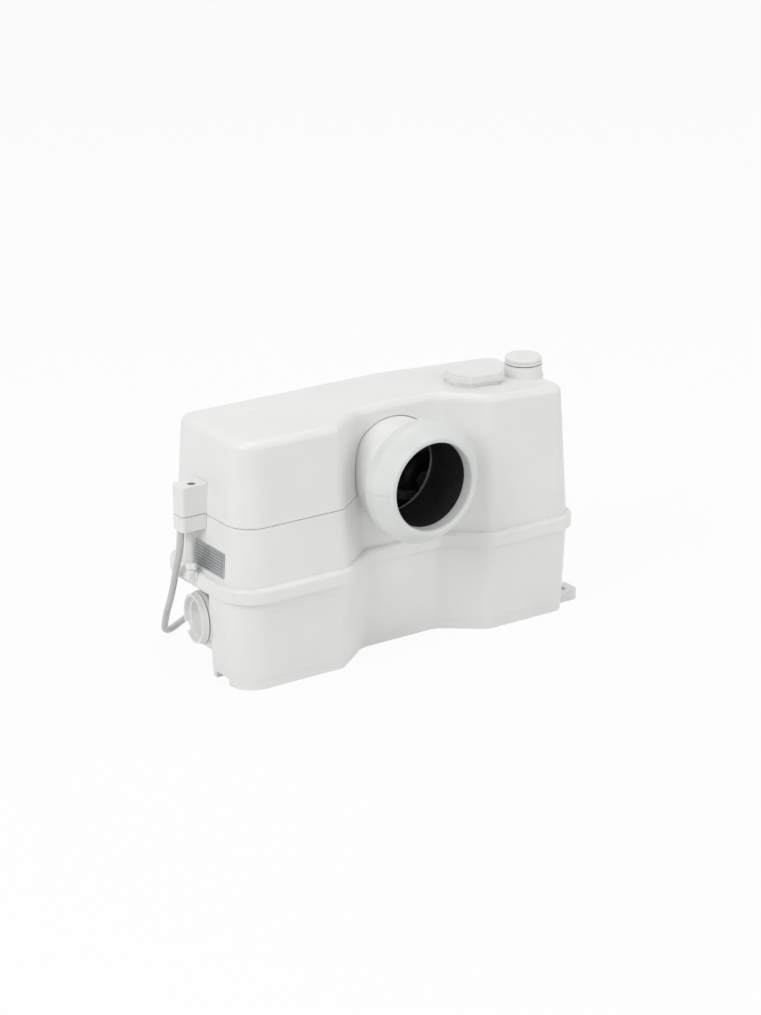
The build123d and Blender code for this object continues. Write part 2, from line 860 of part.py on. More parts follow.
# Motor cover, with the upper half of the cable housing on its left side
cover_hollow = upper_hull(cover_wall, cover_wall, top_edge_radius - cover_wall)
cover_low = seam_height + seam_gap
cover_block = block_between((far_left, far_front, cover_low), (seam_x, far_back, top_height + overrun))
wall_at_split = -casing_side + upper_inset(housing_split)
housing_block = block_between(
    (-side_reach, housing_front, housing_split + seam_gap / 2),
    (wall_at_split + cover_wall / 2, housing_back, housing_top),
)
housing_hollow = block_between(
    (-side_reach + housing_wall, housing_front + housing_wall, housing_split - overrun),
    (wall_at_split + 2 * cover_wall, housing_back - housing_wall, housing_top - 2 * housing_wall),
)
with BuildPart() as housing_shell:
    add(housing_block)
    corners = housing_shell.edges().filter_by(Axis.Z).group_by(Axis.X)[0].sort_by(Axis.Y)
    fillet(corners[0], radius=housing_radius)
    rear_corner = housing_shell.edges().filter_by(Axis.Z).group_by(Axis.Y)[-1].sort_by(Axis.X)[0]
    fillet(rear_corner, radius=housing_rear_radius)
    crown = housing_shell.faces().sort_by(Axis.Z)[-1].edges()
    fillet([edge for edge in crown if edge.center().X < wall_at_split], radius=housing_edge_radius)
with BuildPart() as motor_cover:
    add(outer_hull)
    add(cover_block, mode=Mode.INTERSECT)
    add(housing_shell.part)
    add(cover_hollow, mode=Mode.SUBTRACT)
    add(housing_hollow, mode=Mode.SUBTRACT)
    with BuildSketch(inlet_face.offset(-collar_back_depth)):
        Circle(neck_radius + seam_gap)
    extrude(amount=-neck_length + collar_back_depth, mode=Mode.SUBTRACT)
    with Locations((clamp_screw_x, clamp_screw_y, housing_top)):
        Cylinder(cover_screw_radius + running_gap, 2 * overrun, mode=Mode.SUBTRACT)
        Cylinder(cover_screw_head_radius + fit_gap, 2 * cover_screw_head_height, mode=Mode.SUBTRACT)
    for x in cover_screw_xs:
        with BuildSketch(cover_screw_face(x).offset(overrun)):
            Circle(cover_screw_radius + running_gap)
        extrude(amount=-cover_screw_reach - overrun, mode=Mode.SUBTRACT)
save(motor_cover.part, "motor_cover")


# Cover screws through the back wall into the lip, and the long clamp screw
clamp_top = housing_split - seam_gap / 2
clamp_screw_length = housing_top - cover_screw_head_height - clamp_top + clamp_screw_reach
with BuildPart() as cover_screws:
    for x in cover_screw_xs:
        with BuildSketch(cover_screw_face(x)):
            Circle(cover_screw_head_radius)
        extrude(amount=cover_screw_head_height)
        with BuildSketch(cover_screw_face(x)):
            Circle(cover_screw_radius)
        extrude(amount=-cover_screw_reach)
    with Locations((clamp_screw_x, clamp_screw_y, housing_top - cover_screw_head_height)):
        Cylinder(cover_screw_head_radius, cover_screw_head_height - fit_gap, align=standing)
        Cylinder(cover_screw_radius, clamp_screw_length, align=hanging)
    with Locations((clamp_screw_x, clamp_screw_y, housing_top)):
        Box(2 * cover_screw_head_radius, seam_gap, cover_screw_head_height, mode=Mode.SUBTRACT)
        Box(seam_gap, 2 * cover_screw_head_radius, cover_screw_head_height, mode=Mode.SUBTRACT)
save(cover_screws.part, "cover_screws")


# Cable clamp: the lower half of the housing, and the tapered strain relief in it
with BuildPart() as cable_clamp:
    with BuildSketch(Plane.XZ.offset(-housing_back)):
        with BuildLine():
            Polyline(
                (-side_reach, housing_low),
                (-casing_side + upper_inset(housing_low) - fit_gap, housing_low),
                (-casing_side + upper_inset(clamp_top) - fit_gap, clamp_top),
                (-side_reach, clamp_top),
                close=True,
            )
        make_face()
    extrude(amount=housing_back - housing_front)
    left_edges = cable_clamp.edges().filter_by(Axis.Z).group_by(Axis.X)[0].sort_by(Axis.Y)
    fillet(left_edges[0], radius=housing_radius)
    rear_edges = cable_clamp.edges().filter_by(Axis.Z).group_by(Axis.Y)[-1].sort_by(Axis.X)
    fillet(rear_edges[0], radius=housing_rear_radius)
    with Locations((cable_x, cable_y, housing_low)):
        Cylinder(relief_radius + running_gap, 2 * (clamp_top - housing_low + overrun), mode=Mode.SUBTRACT)
    with Locations((clamp_screw_x, clamp_screw_y, clamp_top)):
        Cylinder(cover_screw_radius + running_gap, 2 * (clamp_screw_reach + running_gap), mode=Mode.SUBTRACT)
save(cable_clamp.part, "cable_clamp")

relief_shoulder = clamp_top + running_gap - housing_low
with BuildPart() as strain_relief:
    with BuildSketch(Plane.XZ.offset(-cable_y)):
        with BuildLine():
            Polyline(
                (cable_x + cord_radius + running_gap, housing_low),
                (cable_x + relief_radius, housing_low),
                (cable_x + relief_radius, housing_low + relief_shoulder),
                (cable_x + relief_flange_radius, housing_low + relief_shoulder),
                (cable_x + relief_flange_radius, housing_low + relief_shoulder + relief_flange_thickness),
                (cable_x + relief_tip_radius, housing_low + relief_length),
                (cable_x + cord_radius + running_gap, housing_low + relief_length),
                close=True,
            )
        make_face()
    revolve(axis=Axis((cable_x, cable_y, 0), (0, 0, 1)))
save(strain_relief.part, "strain_relief")


# Rubber collar for the toilet's spigot, and the black sleeve that lines the neck
inlet_section = Plane(origin=(inlet_x, collar_lip_y, inlet_height), x_dir=(1, 0, 0), z_dir=(0, 0, 1))
inlet_axis = Axis((inlet_x, collar_lip_y, inlet_height), (0, 1, 0))
lip_round_share = math.sqrt(0.5)
lip_bend = collar_lip_round * (1 - lip_round_share)
with BuildPart() as wc_collar:
    with BuildSketch(inlet_section):
        with BuildLine():
            ThreePointArc(
                (collar_bore_radius, collar_lip_round),
                (collar_bore_radius + lip_bend, lip_bend),
                (collar_bore_radius + collar_lip_round, 0),
            )
            Line((collar_bore_radius + collar_lip_round, 0), (collar_lip_radius - collar_lip_round, 0))
            ThreePointArc(
                (collar_lip_radius - collar_lip_round, 0),
                (collar_lip_radius - lip_bend, lip_bend),
                (collar_lip_radius, collar_lip_round),
            )
            Line((collar_lip_radius, collar_lip_round), (collar_cone_radius, collar_cone_depth))
            TangentArc(
                (collar_shoulder_radius, collar_shoulder_depth),
                (collar_cone_radius, collar_cone_depth),
                tangent=(0, -1),
            )
            Polyline(
                (collar_shoulder_radius, collar_shoulder_depth),
                (collar_back_radius, collar_back_depth),
                (neck_radius + fit_gap, collar_back_depth),
                (neck_radius + fit_gap, collar_lip_depth),
                (collar_bore_radius, collar_lip_depth),
                (collar_bore_radius, collar_lip_round),
            )
        make_face()
    revolve(axis=inlet_axis)
save(wc_collar.part, "wc_collar")

sleeve_radius = neck_radius - neck_wall - fit_gap
sleeve_bore = sleeve_radius - sleeve_wall
sleeve_end = sleeve_inner_y - collar_lip_y
with BuildPart() as inlet_sleeve:
    with BuildSketch(inlet_section):
        with BuildLine():
            Polyline(
                (sleeve_bore, neck_front),
                (sleeve_radius, neck_front),
                (sleeve_radius, sleeve_end),
                (sleeve_bore - sleeve_rim, sleeve_end),
                (sleeve_bore - sleeve_rim, sleeve_end - sleeve_rim_width),
                (sleeve_bore, sleeve_end - 2 * sleeve_rim_width),
                close=True,
            )
        make_face()
    revolve(axis=inlet_axis)
save(inlet_sleeve.part, "inlet_sleeve")


# Vent: lid and carbon filter
lid_base = filter_rim_height + filter_lid_gap
with BuildPart() as filter_lid:
    with BuildSketch(filter_face.offset(lid_base)):
        with BuildLine():
            Polyline(*eight_sided(filter_length, filter_width, filter_corner), close=True)
        make_face()
    extrude(amount=filter_lid_thickness - filter_lid_step)
    step_length = filter_length - 2 * filter_lid_step_inset
    step_width = filter_width - 2 * filter_lid_step_inset
    with BuildSketch(filter_face.offset(lid_base + filter_lid_thickness - filter_lid_step)):
        with BuildLine():
            Polyline(*eight_sided(step_length, step_width, filter_corner), close=True)
        make_face()
    extrude(amount=filter_lid_step)
    with BuildSketch(filter_face.offset(lid_base)):
        Rectangle(filter_port_length - 2 * fit_gap, filter_port_width - 2 * fit_gap)
        Rectangle(
            filter_port_length - 2 * filter_skirt_wall,
            filter_port_width - 2 * filter_skirt_wall,
            mode=Mode.SUBTRACT,
        )
    extrude(amount=-filter_skirt)
save(filter_lid.part, "filter_lid")

with BuildPart() as carbon_filter:
    with BuildSketch(filter_face.offset(-filter_pocket_depth + filter_pocket_wall)):
        Rectangle(filter_port_length - 2 * slip_gap, filter_port_width - 2 * slip_gap)
    extrude(amount=filter_block_height)
save(carbon_filter.part, "carbon_filter")


# Top inlet: push-in cap
cap_base = top_spigot_top + top_seal_thickness
with BuildPart() as top_inlet_cap:
    with Locations((top_inlet_x, top_inlet_y, cap_base)):
        Cylinder(top_cap_radius, top_cap_height, align=standing)
    fillet(top_inlet_cap.edges().group_by(Axis.Z)[-1], radius=top_cap_round)
    with BuildSketch(Plane.XY.offset(cap_base + top_cap_height / 2 - top_cap_groove_width)):
        with Locations((top_inlet_x, top_inlet_y)):
            Circle(top_cap_radius + overrun)
            Circle(top_cap_radius - top_cap_groove_depth, mode=Mode.SUBTRACT)
    extrude(amount=top_cap_groove_width, mode=Mode.SUBTRACT)
    with BuildSketch(Plane.XY.offset(cap_base)):
        with Locations((top_inlet_x, top_inlet_y)):
            Circle(top_spigot_bore - fit_gap)
            Circle(top_spigot_bore - fit_gap - top_cap_skirt_wall, mode=Mode.SUBTRACT)
    extrude(amount=-top_cap_skirt_length)
save(top_inlet_cap.part, "top_inlet_cap")


# Side inlet: cup-shaped blanking cap, and the flat seals of all three lids
cap_flange_face = side_face.offset(side_seal_thickness)
cap_rim_face = cap_flange_face.offset(side_cap_flange_thickness)
cap_end_face = cap_rim_face.offset(side_cap_rim_height)
cap_floor_face = cap_end_face.offset(-side_cap_recess_depth)
cap_plug_radius = side_bore_radius - fit_gap
cap_cup_radius = cap_plug_radius - side_cap_rim_wall
with BuildPart() as inlet_seals:
    with BuildSketch(side_face):
        Circle(side_bore_radius + side_seal_width)
        Circle(side_bore_radius, mode=Mode.SUBTRACT)
    extrude(amount=side_seal_thickness)
    with BuildSketch(Plane.XY.offset(top_spigot_top)):
        with Locations((top_inlet_x, top_inlet_y)):
            Circle(top_cap_radius - top_cap_groove_depth)
            Circle(top_spigot_bore, mode=Mode.SUBTRACT)
    extrude(amount=top_seal_thickness)
    with BuildSketch(filter_face.offset(filter_rim_height)):
        with BuildLine():
            Polyline(*eight_sided(rim_length, rim_width, filter_corner), close=True)
        make_face()
        Rectangle(filter_port_length, filter_port_width, mode=Mode.SUBTRACT)
    extrude(amount=filter_lid_gap)
save(inlet_seals.part, "inlet_seals")

with BuildPart() as side_inlet_cap:
    with BuildSketch(cap_flange_face):
        Circle(side_cap_flange_radius)
    extrude(amount=side_cap_flange_thickness)
    with BuildSketch(cap_rim_face):
        Circle(side_cap_rim_radius)
    extrude(amount=side_cap_rim_height)
    with BuildSketch(cap_flange_face):
        Circle(cap_plug_radius)
    extrude(amount=-side_cap_plug_length)
    with BuildSketch(cap_rim_face):
        Circle(side_cap_rim_radius - side_cap_rim_wall)
    extrude(amount=side_cap_rim_height, mode=Mode.SUBTRACT)
    with BuildSketch(cap_floor_face):
        Circle(cap_cup_radius)
    extrude(amount=side_cap_recess_depth, mode=Mode.SUBTRACT)
    with BuildSketch(cap_flange_face.offset(-side_cap_plug_length)):
        Circle(cap_cup_radius)
    hollow_depth = side_cap_plug_length + side_cap_flange_thickness + side_cap_rim_height
    extrude(amount=hollow_depth - side_cap_recess_depth - side_cap_rim_wall, mode=Mode.SUBTRACT)
    with BuildSketch(cap_end_face):
        with PolarLocations(side_cap_rim_radius, 1, start_angle=side_cap_notch_turn):
            Rectangle(2 * side_cap_rim_wall + side_cap_notch_depth, side_cap_notch_width)
    extrude(amount=-side_cap_notch_depth, mode=Mode.SUBTRACT)
save(side_inlet_cap.part, "side_inlet_cap")


# Discharge valve: body, swinging flap and its pin, seal and screws
valve_base = valve_face.offset(valve_seal_thickness)
valve_front = valve_base.offset(valve_flange_thickness)
valve_end = valve_front.offset(valve_length)
flap_face_x = niche_x + valve_seal_thickness + valve_seat_thickness + fit_gap
flap_pin_height = valve_height + flap_pin_rise
flap_pin_x = flap_face_x + flap_knuckle_radius + fit_gap
valve_bore = valve_radius - valve_wall
pin_half_chord = math.sqrt(valve_bore**2 - flap_pin_rise**2)
pin_length = 2 * (pin_half_chord + valve_wall / 2)
outlet_length = side_reach - niche_x - valve_seal_thickness - valve_flange_thickness - valve_length
with BuildPart() as valve_body:
    with BuildSketch(valve_base):
        Circle(valve_flange_radius)
    extrude(amount=valve_flange_thickness)
    with BuildSketch(valve_front):
        Circle(valve_radius)
    extrude(amount=valve_length)
    with BuildSketch(valve_end):
        Circle(outlet_radius)
    extrude(amount=outlet_length)
    with BuildSketch(valve_base):
        Circle(riser_radius)
    extrude(amount=-valve_seal_thickness - tank_wall - coupling_length / 2)
    with BuildSketch(valve_base.offset(valve_seat_thickness)):
        Circle(valve_bore)
    extrude(
        amount=valve_flange_thickness - valve_seat_thickness + valve_length - valve_end_wall,
        mode=Mode.SUBTRACT,
    )
    with BuildSketch(valve_end.offset(-valve_end_wall - overrun)):
        Circle(outlet_bore)
    extrude(amount=outlet_length + valve_end_wall + 2 * overrun, mode=Mode.SUBTRACT)
    with BuildSketch(valve_base.offset(-coupling_length - overrun)):
        Circle(riser_bore)
    extrude(amount=coupling_length + overrun, mode=Mode.SUBTRACT)
    with BuildSketch(valve_base):
        Circle(riser_bore)
    extrude(amount=valve_seat_thickness, mode=Mode.SUBTRACT)
    with BuildSketch(valve_base):
        with PolarLocations(valve_screw_circle, valve_screw_count, start_angle=valve_screw_start):
            Circle(valve_screw_radius + running_gap)
    extrude(amount=valve_flange_thickness, mode=Mode.SUBTRACT)
    with Locations(Location((flap_pin_x, valve_y, flap_pin_height), (quarter_turn, 0, 0))):
        Cylinder(flap_pin_radius + running_gap, pin_length, mode=Mode.SUBTRACT)
save(valve_body.part, "valve_body")

with BuildPart() as flap_pin:
    with Locations(Location((flap_pin_x, valve_y, flap_pin_height), (quarter_turn, 0, 0))):
        Cylinder(flap_pin_radius, pin_length - running_gap)
save(flap_pin.part, "flap_pin")

flap_plane = Plane(origin=(flap_face_x, valve_y, valve_height), x_dir=(0, 1, 0), z_dir=(1, 0, 0))
with BuildPart() as valve_flap:
    with BuildSketch(flap_plane):
        Circle(flap_radius)
        with Locations((0, flap_pin_rise / 2)):
            Rectangle(flap_knuckle_width, flap_pin_rise)
    extrude(amount=flap_thickness)
    with Locations(Location((flap_pin_x, valve_y, flap_pin_height), (quarter_turn, 0, 0))):
        Cylinder(flap_knuckle_radius, flap_knuckle_width)
        Cylinder(flap_pin_radius + running_gap, 2 * flap_radius, mode=Mode.SUBTRACT)
save(valve_flap.part, "valve_flap")

with BuildPart() as valve_seal:
    with BuildSketch(valve_face):
        Circle(valve_flange_radius)
        Circle(wall_port_radius, mode=Mode.SUBTRACT)
        with PolarLocations(valve_screw_circle, valve_screw_count, start_angle=valve_screw_start):
            Circle(valve_screw_radius + running_gap, mode=Mode.SUBTRACT)
    extrude(amount=valve_seal_thickness)
save(valve_seal.part, "valve_seal")

with BuildPart() as valve_screws:
    with BuildSketch(valve_front):
        with PolarLocations(valve_screw_circle, valve_screw_count, start_angle=valve_screw_start):
            Circle(valve_screw_head_radius)
    extrude(amount=valve_screw_head_height)
    with BuildSketch(valve_front):
        with PolarLocations(valve_screw_circle, valve_screw_count, start_angle=valve_screw_start):
            Circle(valve_screw_radius)
    extrude(amount=-valve_screw_length)
save(valve_screws.part, "valve_screws")


# Riser pipe from the pump's outlet up to the valve, its coupling and wall bracket
riser_y = motor_y + outlet_offset
pump_mid = (pump_low + pump_high) / 2
riser_start_x = motor_x + outlet_tube_length - outlet_socket_depth + running_gap
riser_end_x = niche_x - tank_wall - coupling_length / 2 - running_gap
with BuildPart() as riser_pipe:
    with BuildLine() as riser_path:
        FilletPolyline(
            (riser_start_x, riser_y, pump_mid),
            (riser_x, riser_y, pump_mid),
            (riser_x, riser_y, valve_height),
            (riser_end_x, riser_y, valve_height),
            radius=riser_bend,
        )
    with BuildSketch(Plane(origin=riser_path.line @ 0, z_dir=riser_path.line % 0)):
        Circle(riser_radius)
        Circle(riser_bore, mode=Mode.SUBTRACT)
    sweep()
save(riser_pipe.part, "riser_pipe")

with BuildPart() as riser_coupling:
    coupling_start = (riser_end_x - coupling_length / 2, riser_y, valve_height)
    with BuildSketch(Plane(origin=coupling_start, z_dir=(1, 0, 0))):
        Circle(riser_radius + coupling_wall)
        Circle(riser_radius + running_gap, mode=Mode.SUBTRACT)
    extrude(amount=coupling_length)
save(riser_coupling.part, "riser_coupling")

chamber_back = casing_back - upper_inset(bracket_high) - tank_wall - fit_gap
with BuildPart() as riser_bracket:
    with BuildSketch(Plane.XY.offset(bracket_low)):
        with Locations((riser_x, riser_y)):
            Circle(riser_radius + bracket_plate)
        with Locations((riser_x, (riser_y + chamber_back) / 2)):
            Rectangle(bracket_leg_width, chamber_back - riser_y)
        with Locations((riser_x, riser_y)):
            Circle(riser_radius + running_gap, mode=Mode.SUBTRACT)
    extrude(amount=bracket_leg_width)
    with Locations((riser_x, chamber_back - bracket_plate / 2, bracket_low)):
        Box(bracket_width, bracket_plate, bracket_high - bracket_low, align=standing)
save(riser_bracket.part, "riser_bracket")


# Motor: rubber mount, base, can, cap, bearings, stator, windings, screws
motor_base_low = deck_top + mount_ring_thickness
motor_base_top = motor_base_low + motor_flange_thickness
motor_cap_low = motor_base_top + motor_height
bearing_low = motor_base_low + bearing_shoulder
bearing_high = motor_cap_low - bearing_height
stator_low = motor_base_top + stator_lift
stator_high = stator_low + stator_height
with BuildPart() as motor_mount:
    with BuildSketch(Plane.XY.offset(deck_top)):
        with Locations((motor_x, motor_y)):
            Circle(mount_ring_radius)
        with Locations(ear_places):
            Circle(motor_ear_radius)
            Circle(pump_screw_radius + running_gap, mode=Mode.SUBTRACT)
        with Locations((motor_x, motor_y)):
            Circle(mount_ring_bore, mode=Mode.SUBTRACT)
    extrude(amount=mount_ring_thickness)
save(motor_mount.part, "motor_mount")

with BuildPart() as motor_base:
    with BuildSketch(Plane.XY.offset(motor_base_low)):
        with Locations((motor_x, motor_y)):
            Circle(motor_radius)
        with Locations(ear_places):
            Circle(motor_ear_radius)
            Circle(pump_screw_radius + running_gap, mode=Mode.SUBTRACT)
    extrude(amount=motor_flange_thickness)
    with Locations((motor_x, motor_y, motor_base_low)):
        Cylinder(
            bearing_radius + bearing_boss_wall,
            bearing_low + bearing_height - motor_base_low,
            align=standing,
        )
    with Locations((motor_x, motor_y, bearing_low)):
        Cylinder(bearing_radius + running_gap, 2 * bearing_height, align=standing, mode=Mode.SUBTRACT)
        Cylinder(bearing_radius - bearing_boss_wall, 2 * motor_flange_thickness, mode=Mode.SUBTRACT)
save(motor_base.part, "motor_base")

with BuildPart() as motor_housing:
    with BuildSketch(Plane.XY.offset(motor_base_top)):
        with Locations((motor_x, motor_y)):
            Circle(motor_radius)
            with PolarLocations(motor_radius, motor_rib_count):
                Rectangle(2 * motor_rib_depth, motor_rib_width)
            Circle(motor_radius - motor_wall, mode=Mode.SUBTRACT)
    extrude(amount=motor_height)
save(motor_housing.part, "motor_housing")

with BuildPart() as motor_cap:
    with Locations((motor_x, motor_y, motor_cap_low)):
        Cylinder(motor_radius, motor_cap_thickness, align=standing)
    fillet(motor_cap.edges().group_by(Axis.Z)[-1], radius=motor_wall)
    with Locations((motor_x, motor_y, motor_cap_low)):
        Cylinder(bearing_radius + bearing_boss_wall, bearing_height, align=hanging)
        Cylinder(bearing_radius + running_gap, bearing_height, align=hanging, mode=Mode.SUBTRACT)
save(motor_cap.part, "motor_cap")

with BuildPart() as motor_bearings:
    with Locations((motor_x, motor_y, bearing_low), (motor_x, motor_y, bearing_high)):
        Cylinder(bearing_radius, bearing_height - running_gap, align=standing)
        Cylinder(shaft_radius + running_gap, bearing_height, align=standing, mode=Mode.SUBTRACT)
save(motor_bearings.part, "motor_bearings")

with BuildPart() as stator:
    with BuildSketch(Plane.XY.offset(stator_low)):
        with Locations((motor_x, motor_y)):
            Circle(motor_radius - motor_wall - running_gap)
            Circle(stator_bore, mode=Mode.SUBTRACT)
    extrude(amount=stator_height)
save(stator.part, "stator")

with BuildPart() as motor_windings:
    for low in (stator_low - winding_height, stator_high):
        with BuildSketch(Plane.XY.offset(low)):
            with Locations((motor_x, motor_y)):
                Circle(winding_radius)
                Circle(winding_bore, mode=Mode.SUBTRACT)
        extrude(amount=winding_height)
save(motor_windings.part, "motor_windings")

with BuildPart() as motor_screws:
    with BuildSketch(Plane.XY.offset(motor_base_top)):
        with Locations(ear_places):
            Circle(pump_screw_head_radius)
    extrude(amount=pump_screw_head_height)
    with BuildSketch(Plane.XY.offset(motor_base_top)):
        with Locations(ear_places):
            Circle(pump_screw_radius)
    extrude(amount=deck_low - motor_base_top)
save(motor_screws.part, "motor_screws")


# Turning pieces: shaft, rotor, impeller, cutter and its nut
pump_chamber_low = pump_low + pump_wall
pump_chamber_high = pump_high - pump_wall
pump_chamber_rise = pump_chamber_high - pump_chamber_low
cutter_low = pump_low - cutter_ring_height
nut_low = shaft_low + running_gap
cutter_hub_low = nut_low + cutter_nut_height + running_gap
impeller_top = pump_chamber_high - impeller_lift
impeller_low = impeller_top - impeller_plate - impeller_blade_height
with BuildPart() as motor_shaft:
    with Locations((motor_x, motor_y, shaft_low)):
        Cylinder(shaft_radius, motor_cap_low - fit_gap - shaft_low, align=standing)
save(motor_shaft.part, "motor_shaft")

with BuildPart() as rotor:
    with BuildSketch(Plane.XY.offset(stator_low)):
        with Locations((motor_x, motor_y)):
            Circle(stator_bore - rotor_gap)
            Circle(shaft_radius + running_gap, mode=Mode.SUBTRACT)
    extrude(amount=stator_height)
save(rotor.part, "rotor")

with BuildPart() as impeller:
    with Locations((motor_x, motor_y, impeller_top)):
        Cylinder(impeller_radius, impeller_plate, align=hanging)
    with BuildSketch(Plane.XY.offset(impeller_low)):
        with Locations((motor_x, motor_y)):
            Circle(impeller_hub_radius)
            with PolarLocations(impeller_blade_reach / 2, impeller_blade_count):
                Rectangle(impeller_blade_reach, impeller_blade_width)
    extrude(amount=impeller_blade_height)
    with Locations((motor_x, motor_y, impeller_low)):
        Cylinder(shaft_radius + running_gap, 2 * impeller_radius, mode=Mode.SUBTRACT)
save(impeller.part, "impeller")

with BuildPart() as cutter:
    with BuildSketch(Plane.XY.offset(cutter_hub_low)):
        with Locations((motor_x, motor_y)):
            Circle(cutter_hub_radius)
    extrude(amount=impeller_low - running_gap - cutter_hub_low)
    with BuildSketch(Plane.XY.offset(cutter_hub_low)):
        with Locations((motor_x, motor_y)):
            SlotOverall(2 * (cutter_ring_bore - cutter_gap), cutter_blade_width)
    extrude(amount=cutter_blade_height)
    with Locations((motor_x, motor_y, cutter_hub_low)):
        Cylinder(shaft_radius + running_gap, 2 * pump_radius, mode=Mode.SUBTRACT)
save(cutter.part, "cutter")

with BuildPart() as cutter_nut:
    with BuildSketch(Plane.XY.offset(nut_low)):
        with Locations((motor_x, motor_y)):
            RegularPolygon(cutter_nut_width / 2, cutter_nut_sides, major_radius=False)
            Circle(shaft_radius + running_gap, mode=Mode.SUBTRACT)
    extrude(amount=cutter_nut_height)
save(cutter_nut.part, "cutter_nut")


# Pump: shaft seal, housing with its outlet tube, fixed cutter ring and screws
with BuildPart() as shaft_seal:
    with Locations((motor_x, motor_y, deck_top - running_gap)):
        Cylinder(seal_radius, seal_height - 2 * running_gap, align=hanging)
        Cylinder(shaft_radius + running_gap, 2 * seal_height, mode=Mode.SUBTRACT)
save(shaft_seal.part, "shaft_seal")

column_top = deck_low - running_gap
outlet_face = Plane(origin=(motor_x, riser_y, pump_mid), x_dir=(0, 1, 0), z_dir=(1, 0, 0))
with BuildPart() as pump_housing:
    with Locations((motor_x, motor_y, pump_low)):
        Cylinder(pump_radius, pump_high - pump_low, align=standing)
    with BuildSketch(outlet_face):
        Circle(outlet_tube_radius)
    extrude(amount=outlet_tube_length)
    with Locations((motor_x, motor_y, pump_low)):
        Cylinder(pump_column_radius, column_top - pump_low, align=standing)
    with Locations((motor_x, motor_y, column_top)):
        Cylinder(pump_flange_radius, pump_flange_thickness, align=hanging)
        Cylinder(
            pump_column_radius - pump_column_wall, column_top - pump_high, align=hanging, mode=Mode.SUBTRACT
        )
    with BuildSketch(Plane.XY.offset(column_top)):
        with Locations(pump_screw_places):
            Circle(pump_screw_radius + running_gap)
    extrude(amount=-pump_flange_thickness, mode=Mode.SUBTRACT)
    with Locations((motor_x, motor_y, pump_chamber_low)):
        Cylinder(pump_radius - pump_wall, pump_chamber_rise, align=standing, mode=Mode.SUBTRACT)
        Cylinder(shaft_radius + slip_gap, 2 * pump_high, align=standing, mode=Mode.SUBTRACT)
        Cylinder(pump_eye_radius, 2 * overrun, mode=Mode.SUBTRACT)
    with BuildSketch(outlet_face):
        Circle(riser_bore)
    extrude(amount=outlet_tube_length + overrun, mode=Mode.SUBTRACT)
    with BuildSketch(outlet_face.offset(outlet_tube_length - outlet_socket_depth)):
        Circle(riser_radius + running_gap)
    extrude(amount=outlet_socket_depth + overrun, mode=Mode.SUBTRACT)
save(pump_housing.part, "pump_housing")

with BuildPart() as cutter_ring:
    with BuildSketch(Plane.XY.offset(cutter_low)):
        with Locations((motor_x, motor_y)):
            Circle(cutter_ring_radius)
            Circle(cutter_ring_bore, mode=Mode.SUBTRACT)
    extrude(amount=cutter_ring_height)
    with BuildSketch(Plane.XY.offset(cutter_low)):
        with Locations((motor_x, motor_y)):
            with PolarLocations(cutter_ring_radius, cutter_slot_count):
                Rectangle(2 * cutter_ring_bore - cutter_ring_radius, cutter_slot_width)
    extrude(amount=cutter_slot_height, mode=Mode.SUBTRACT)
save(cutter_ring.part, "cutter_ring")

with BuildPart() as pump_screws:
    with BuildSketch(Plane.XY.offset(column_top - pump_flange_thickness)):
        with Locations(pump_screw_places):
            Circle(pump_screw_head_radius)
    extrude(amount=-pump_screw_head_height)
    with BuildSketch(Plane.XY.offset(column_top - pump_flange_thickness)):
        with Locations(pump_screw_places):
            Circle(pump_screw_radius)
    extrude(amount=pump_flange_thickness + deck_thickness)
save(pump_screws.part, "pump_screws")


# Level switch: dip tube, pressure body, diaphragm with its plunger, microswitch
with BuildPart() as dip_tube:
    with BuildSketch(Plane.XY.offset(dip_low)):
        with Locations((switch_x, switch_y)):
            Circle(dip_radius)
    extrude(amount=deck_low - running_gap - dip_low)
    with BuildSketch(Plane.XY.offset(deck_low - running_gap - dip_collar_height)):
        with Locations((switch_x, switch_y)):
            Circle(dip_collar_radius)
    extrude(amount=dip_collar_height)
    with Locations((switch_x, switch_y, deck_low)):
        Cylinder(dip_radius - dip_wall, 2 * deck_low, mode=Mode.SUBTRACT)
save(dip_tube.part, "dip_tube")

switch_low = deck_top + running_gap
switch_top = switch_low + switch_height
diaphragm_low = switch_low + switch_wall + diaphragm_lift
with BuildPart() as switch_body:
    with Locations((switch_x, switch_y, switch_low)):
        Cylinder(switch_radius, switch_height, align=standing)
        Cylinder(switch_port_radius, switch_height, mode=Mode.SUBTRACT)
    with Locations((switch_x, switch_y, switch_low + switch_wall)):
        Cylinder(
            switch_radius - switch_wall, switch_height - 2 * switch_wall, align=standing, mode=Mode.SUBTRACT
        )
        Cylinder(plunger_radius + fit_gap, 2 * switch_height, align=standing, mode=Mode.SUBTRACT)
save(switch_body.part, "switch_body")

with BuildPart() as switch_diaphragm:
    with Locations((switch_x, switch_y, diaphragm_low)):
        Cylinder(switch_radius - switch_wall - fit_gap, diaphragm_thickness, align=standing)
        Cylinder(plunger_radius, diaphragm_thickness + plunger_length, align=standing)
save(switch_diaphragm.part, "switch_diaphragm")

with BuildPart() as micro_switch:
    with Locations((switch_x, switch_y, switch_top + running_gap)):
        Box(micro_length, micro_width, micro_height, align=standing)
        Cylinder(micro_pocket_radius, 2 * micro_pocket_depth, mode=Mode.SUBTRACT)
save(micro_switch.part, "micro_switch")


# Electrical pieces: capacitor and its cup, control board, terminal block, lead
clip_radius = capacitor_radius + running_gap + capacitor_clip_wall
with BuildPart() as capacitor_cup:
    with Locations((capacitor_x, capacitor_y, deck_top + running_gap)):
        Cylinder(clip_radius, capacitor_clip_height, align=standing)
    with Locations((capacitor_x, capacitor_y, deck_top + running_gap + capacitor_clip_wall)):
        Cylinder(capacitor_radius + running_gap, capacitor_clip_height, align=standing, mode=Mode.SUBTRACT)
save(capacitor_cup.part, "capacitor_cup")

